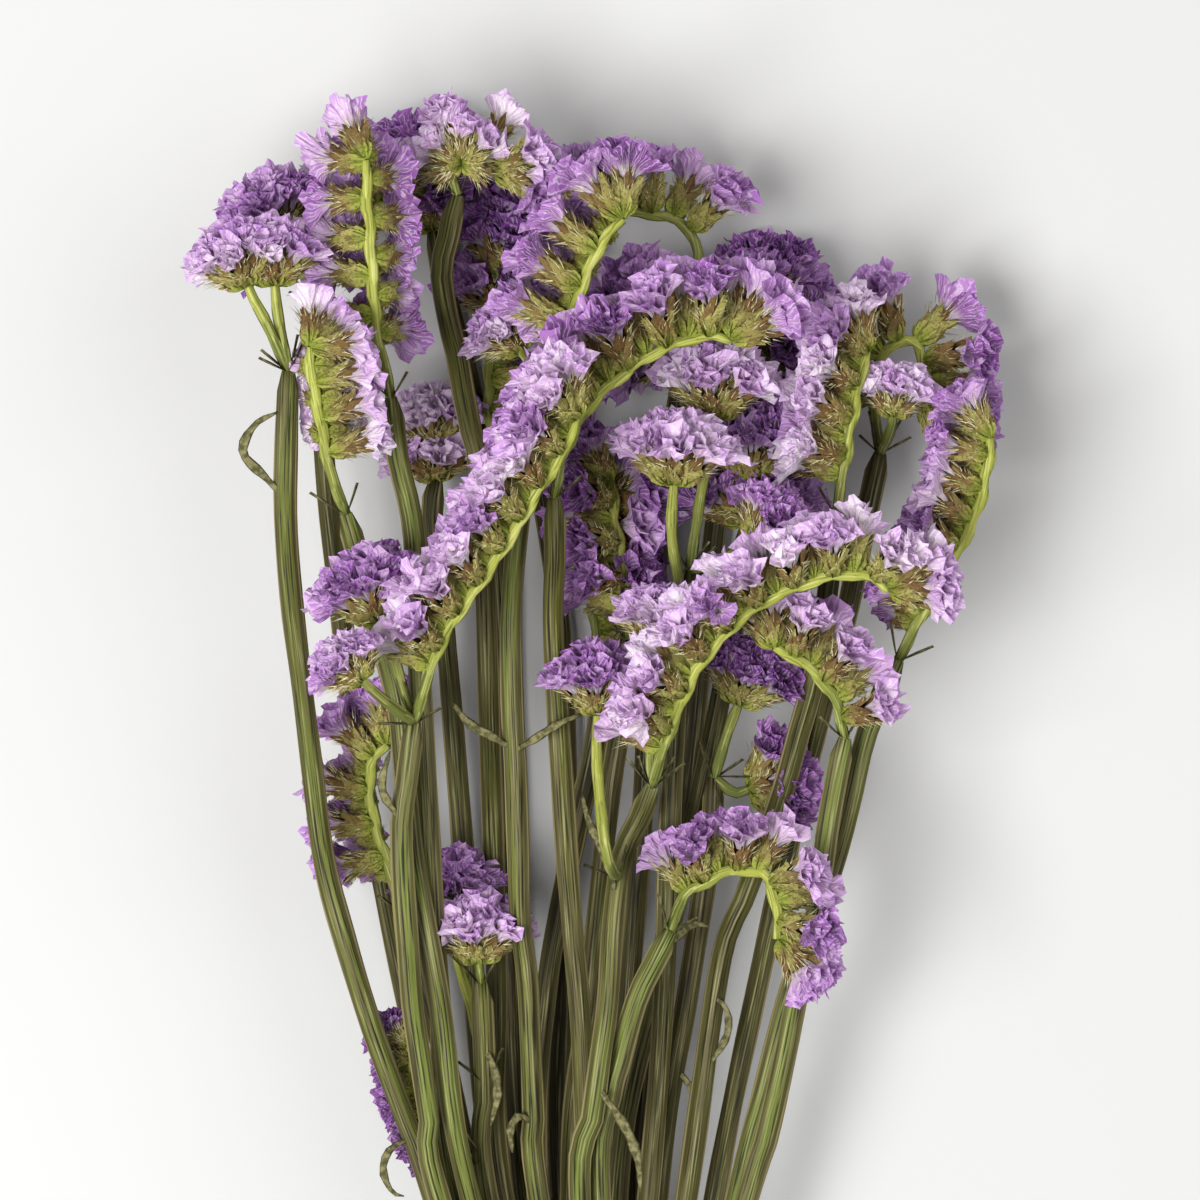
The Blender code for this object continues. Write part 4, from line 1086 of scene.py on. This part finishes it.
def paint_stem():
    """Olive stem: long furrows in painted shade, pale ridges partly their own colour and
    partly painted highlight, dry grey-brown wings, darker on sprays lying further back as
    painted shade.
    """
    n = Nodes("winged_stem")
    run, across, tint = n.read("height"), n.read("side"), n.read("tint")
    streak = drawn_noise(n, run, across, 6.0, 45.0, 4.0)
    band = drawn_noise(n, run, across, 2.0, 14.0, 2.0)
    blotch = n.noise(22.0)
    # From bright green to near black: sprays lying further back sit darker on this ramp as
    # painted shade, mottled by a random tone.
    green = n.make("ShaderNodeValToRGB", {"stops": (
        (0.0, (0.13, 0.160, 0.030)), (0.4, (0.078, 0.079, 0.013)),
        (0.8, (0.029, 0.025, 0.006)), (1.0, (0.014, 0.011, 0.004)))},
        tint + (blotch - 0.5) * 0.7)
    body = n.mix(n.clamp(band, 0.46, 0.56) * 0.65, green, (0.105, 0.085, 0.042))
    # Pale streaks along the ridges: partly their own paler colour and partly painted
    # highlight.
    body = n.mix(n.clamp(streak, 0.54, 0.70) * 0.5, body, (0.36, 0.35, 0.17))
    # Near-black streaks in the furrows: painted shade.
    body = n.mix(n.clamp(streak, 0.50, 0.37) * 0.92, body, (0.010, 0.009, 0.003))
    wide = across.math("ABSOLUTE")
    body = n.mix(n.clamp(wide, 0.52, 0.72) * 0.7, body, (0.050, 0.042, 0.012))
    body = n.mix(n.clamp(wide, 0.90, 1.02) * 0.6, body, (0.30, 0.25, 0.11))
    return n.surface(body, 0.5 + 0.25 * streak, streak)


def paint_branch():
    """Yellow-green branch of a spike, with paler ribs partly their own colour and partly
    painted highlight, dark streaks of painted shade, and painted shade when its spray lies
    further back.
    """
    n = Nodes("spike_branch")
    run, across, tint = n.read("height"), n.read("side"), n.read("tint")
    streak = drawn_noise(n, run, across, 3.0, 120.0, 3.0)
    body = n.mix(n.clamp(run, 0.0, 0.03), (0.13, 0.155, 0.030), (0.29, 0.31, 0.050))
    # Paler ribs: partly their own colour and partly painted highlight.
    body = n.mix(n.clamp(streak, 0.50, 0.68) * 0.6, body, (0.52, 0.51, 0.20))
    # Dark streaks between the ribs: painted shade.
    body = n.mix(n.clamp(streak, 0.47, 0.32) * 0.7, body, (0.06, 0.065, 0.015))
    # Painted shade: branches of sprays lying further back are darker.
    body = n.mix(n.clamp(tint, 0.45, 0.9) * 0.6, body, (0.10, 0.11, 0.035))
    return n.surface(body, 0.6, streak)


def paint_bract():
    """Bracts: green keel, pale dry edges, straw and red-brown toward the tip."""
    n = Nodes("bract_scale")
    height, side, tint = n.read("height"), n.read("side"), n.read("tint")
    fine = n.noise(1500.0)
    off_keel = side.math("ABSOLUTE")
    body = n.mix(n.clamp(height, 0.10, 0.7), (0.29, 0.32, 0.050), (0.40, 0.32, 0.12))
    body = n.mix(n.clamp(off_keel, 0.7, 0.1) * 0.45, body, (0.16, 0.21, 0.022))
    brown = n.clamp(tint + (fine - 0.5) * 0.6, 0.35, 0.95)
    body = n.mix(brown * 0.85 * n.clamp(height, 0.15, 0.55), body, (0.14, 0.060, 0.025))
    body = n.mix(n.clamp(off_keel + (fine - 0.5) * 0.6, 0.6, 1.0) * 0.7, body,
                 (0.60, 0.50, 0.27))
    body = n.mix(n.clamp(fine, 0.5, 0.36) * 0.6, body, (0.05, 0.035, 0.015))
    return n.surface(body, 0.7, fine, 0.15)


def paint_hair():
    """Pale straw bristles."""
    n = Nodes("bristle")
    body = n.mix(n.read("tint"), (0.34, 0.27, 0.10), (0.84, 0.78, 0.50))
    return n.surface(body, 0.6, None, 0.2)


def paint_plain(name, scale_by, high, dark, pale, rough, light_through=0.0):
    """Two colours mottled by fine noise."""
    n = Nodes(name)
    fine = n.noise(scale_by)
    return n.surface(n.mix(n.clamp(fine, 0.35, high), dark, pale), rough, fine, light_through)


def paint_tie():
    """Jute strand."""
    n = Nodes("jute")
    where = n.make("ShaderNodeTexCoord", out=3)
    drawn = n.make("ShaderNodeMapping", None, where, Scale=(0.25, 1.0, 0.25))
    fibre = n.make("ShaderNodeTexNoise", None, Vector=drawn, Scale=1600.0, Detail=4.0)
    body = n.mix(n.clamp(fibre, 0.3, 0.7), (0.26, 0.17, 0.08), (0.62, 0.48, 0.28))
    return n.surface(body, 0.9, fibre)


def dress_tie():
    """Jute twine wound round the gathered stems in close turns."""
    twine = Piece()
    path = []
    half = TIE_LENGTH / 2 - TWINE
    steps = 40
    last = TURNS * steps
    for k in range(last + 1):
        a = 2 * math.pi * k / steps
        path.append((math.sin(a) * (TIE_INNER_X + TWINE), -half + 2 * half * k / last,
                     TIE_MIDDLE + math.cos(a) * (TIE_INNER_Z + TWINE)))
    path = np.array(path)
    co, faces = swept_mesh(path, [TWINE] * len(path), twine_outline)
    nothing = np.zeros(len(co))
    twine.put(co, faces, 0, nothing, nothing, 0.5)
    twine.finish("twine", "tie", "tie_straw", [paint_tie()])


def winged_outline(count, turn):
    """A stem's outline: two thin wings and furrows between low ridges."""
    points = []
    for k in range(count):
        a = 2 * math.pi * k / count
        wing = abs(math.cos(a)) ** 7
        ridge = 0.055 * math.cos(7 * a + turn)
        points.append((math.cos(a) * (0.60 + 0.40 * wing + ridge),
                       math.sin(a) * (0.66 + ridge) + 0.10 * wing * math.sin(turn)))
    return points


def ring_outline(count, reach):
    """A closed outline with its own reach in X and Y at each of its points."""
    points = []
    for k in range(count):
        a = 2 * math.pi * k / count
        x, y = reach(k)
        points.append((math.cos(a) * x, math.sin(a) * y))
    return points


all_strands = make_strands()
settle(all_strands)
work = bpy.data.collections.new("outlines")
bpy.context.scene.collection.children.link(work)
stem_outlines = [outline("stem_outline", winged_outline(24, turn))
                 for turn in (0.5, 2.2, 4.0, 5.4)]
branch_outline = outline("branch_outline", ring_outline(
    12, lambda k: (1.15 if k % 6 == 0 else 0.95 if k % 2 else 0.75, 0.95 if k % 2 else 0.78)))
twine_outline = outline("twine_outline", ring_outline(
    9, lambda k: (1.0, 1.0) if k % 3 else (0.8, 0.8)))
bladed = outline("bladed", [(1, 0), (0.5, 0.14), (0, 0.05), (-0.5, 0.14), (-1, 0),
                            (-0.5, -0.05), (0, -0.14), (0.5, -0.05)])
funnel, scale, bristle = calyx_shape(), scale_shape(), hair_shape()
calyx_paint = paint_calyx()
green_paints = [
    paint_stem(), paint_bract(), paint_hair(), paint_branch(),
    paint_plain("dry_leaf", 700.0, 0.7, (0.06, 0.058, 0.020), (0.21, 0.19, 0.085), 0.75, 0.1),
    paint_plain("cut_pith", 2500.0, 0.65, (0.30, 0.27, 0.14), (0.56, 0.51, 0.33), 0.85)]

for green_name, held_sprays in green_nodes().items():
    dress_green(green_name, held_sprays, all_strands)
for bloom_name in dict.fromkeys(s["head"]["bloom"] for s in all_strands if s["head"]):
    dress_bloom(bloom_name, all_strands)
dress_tie()
for spare in list(work.objects):
    bpy.data.objects.remove(spare)

# Floor, light and camera
scene = bpy.context.scene
floor_bm = bmesh.new()
bmesh.ops.create_grid(floor_bm, x_segments=1, y_segments=1, size=FLOOR_SIZE / 2)
floor_mesh = bpy.data.meshes.new("floor")
floor_bm.to_mesh(floor_mesh)
floor_bm.free()
floor_mesh.materials.append(Nodes("pale_floor").surface((0.50, 0.50, 0.49), 0.9))
floor = bpy.data.objects.new("floor", floor_mesh)
scene.collection.objects.link(floor)
for label, place, size, power in (("key_light", (-0.6, 0.0, 1.4), 0.8, 35.0),
                                  ("fill_light", (0.9, 0.5, 1.2), 1.2, 10.0)):
    lamp = bpy.data.lights.new(label, "AREA")
    lamp.size = size
    lamp.energy = power
    holder = bpy.data.objects.new(label, lamp)
    holder.location = place
    holder.rotation_mode = "QUATERNION"
    holder.rotation_quaternion = (Vector(place) - Vector(LIT_MIDDLE)).to_track_quat("Z", "Y")
    scene.collection.objects.link(holder)
world = bpy.data.worlds.new("studio")
world.use_nodes = True
background = world.node_tree.nodes["Background"]
background.inputs["Color"].default_value = (1, 1, 1, 1)
background.inputs["Strength"].default_value = WORLD_LIGHT
scene.world = world
scene.view_settings.view_transform = "Standard"
camera_data = bpy.data.cameras.new("camera")
camera_data.sensor_width = SENSOR
camera_data.lens = SENSOR * CAMERA_HIGH / (FRAME_PX * PIXEL)
camera = bpy.data.objects.new("camera", camera_data)
camera.location = (0, (TIE_PX - FRAME_PX / 2) * PIXEL, HEAD_MIDDLE + CAMERA_HIGH)
scene.collection.objects.link(camera)
scene.camera = camera
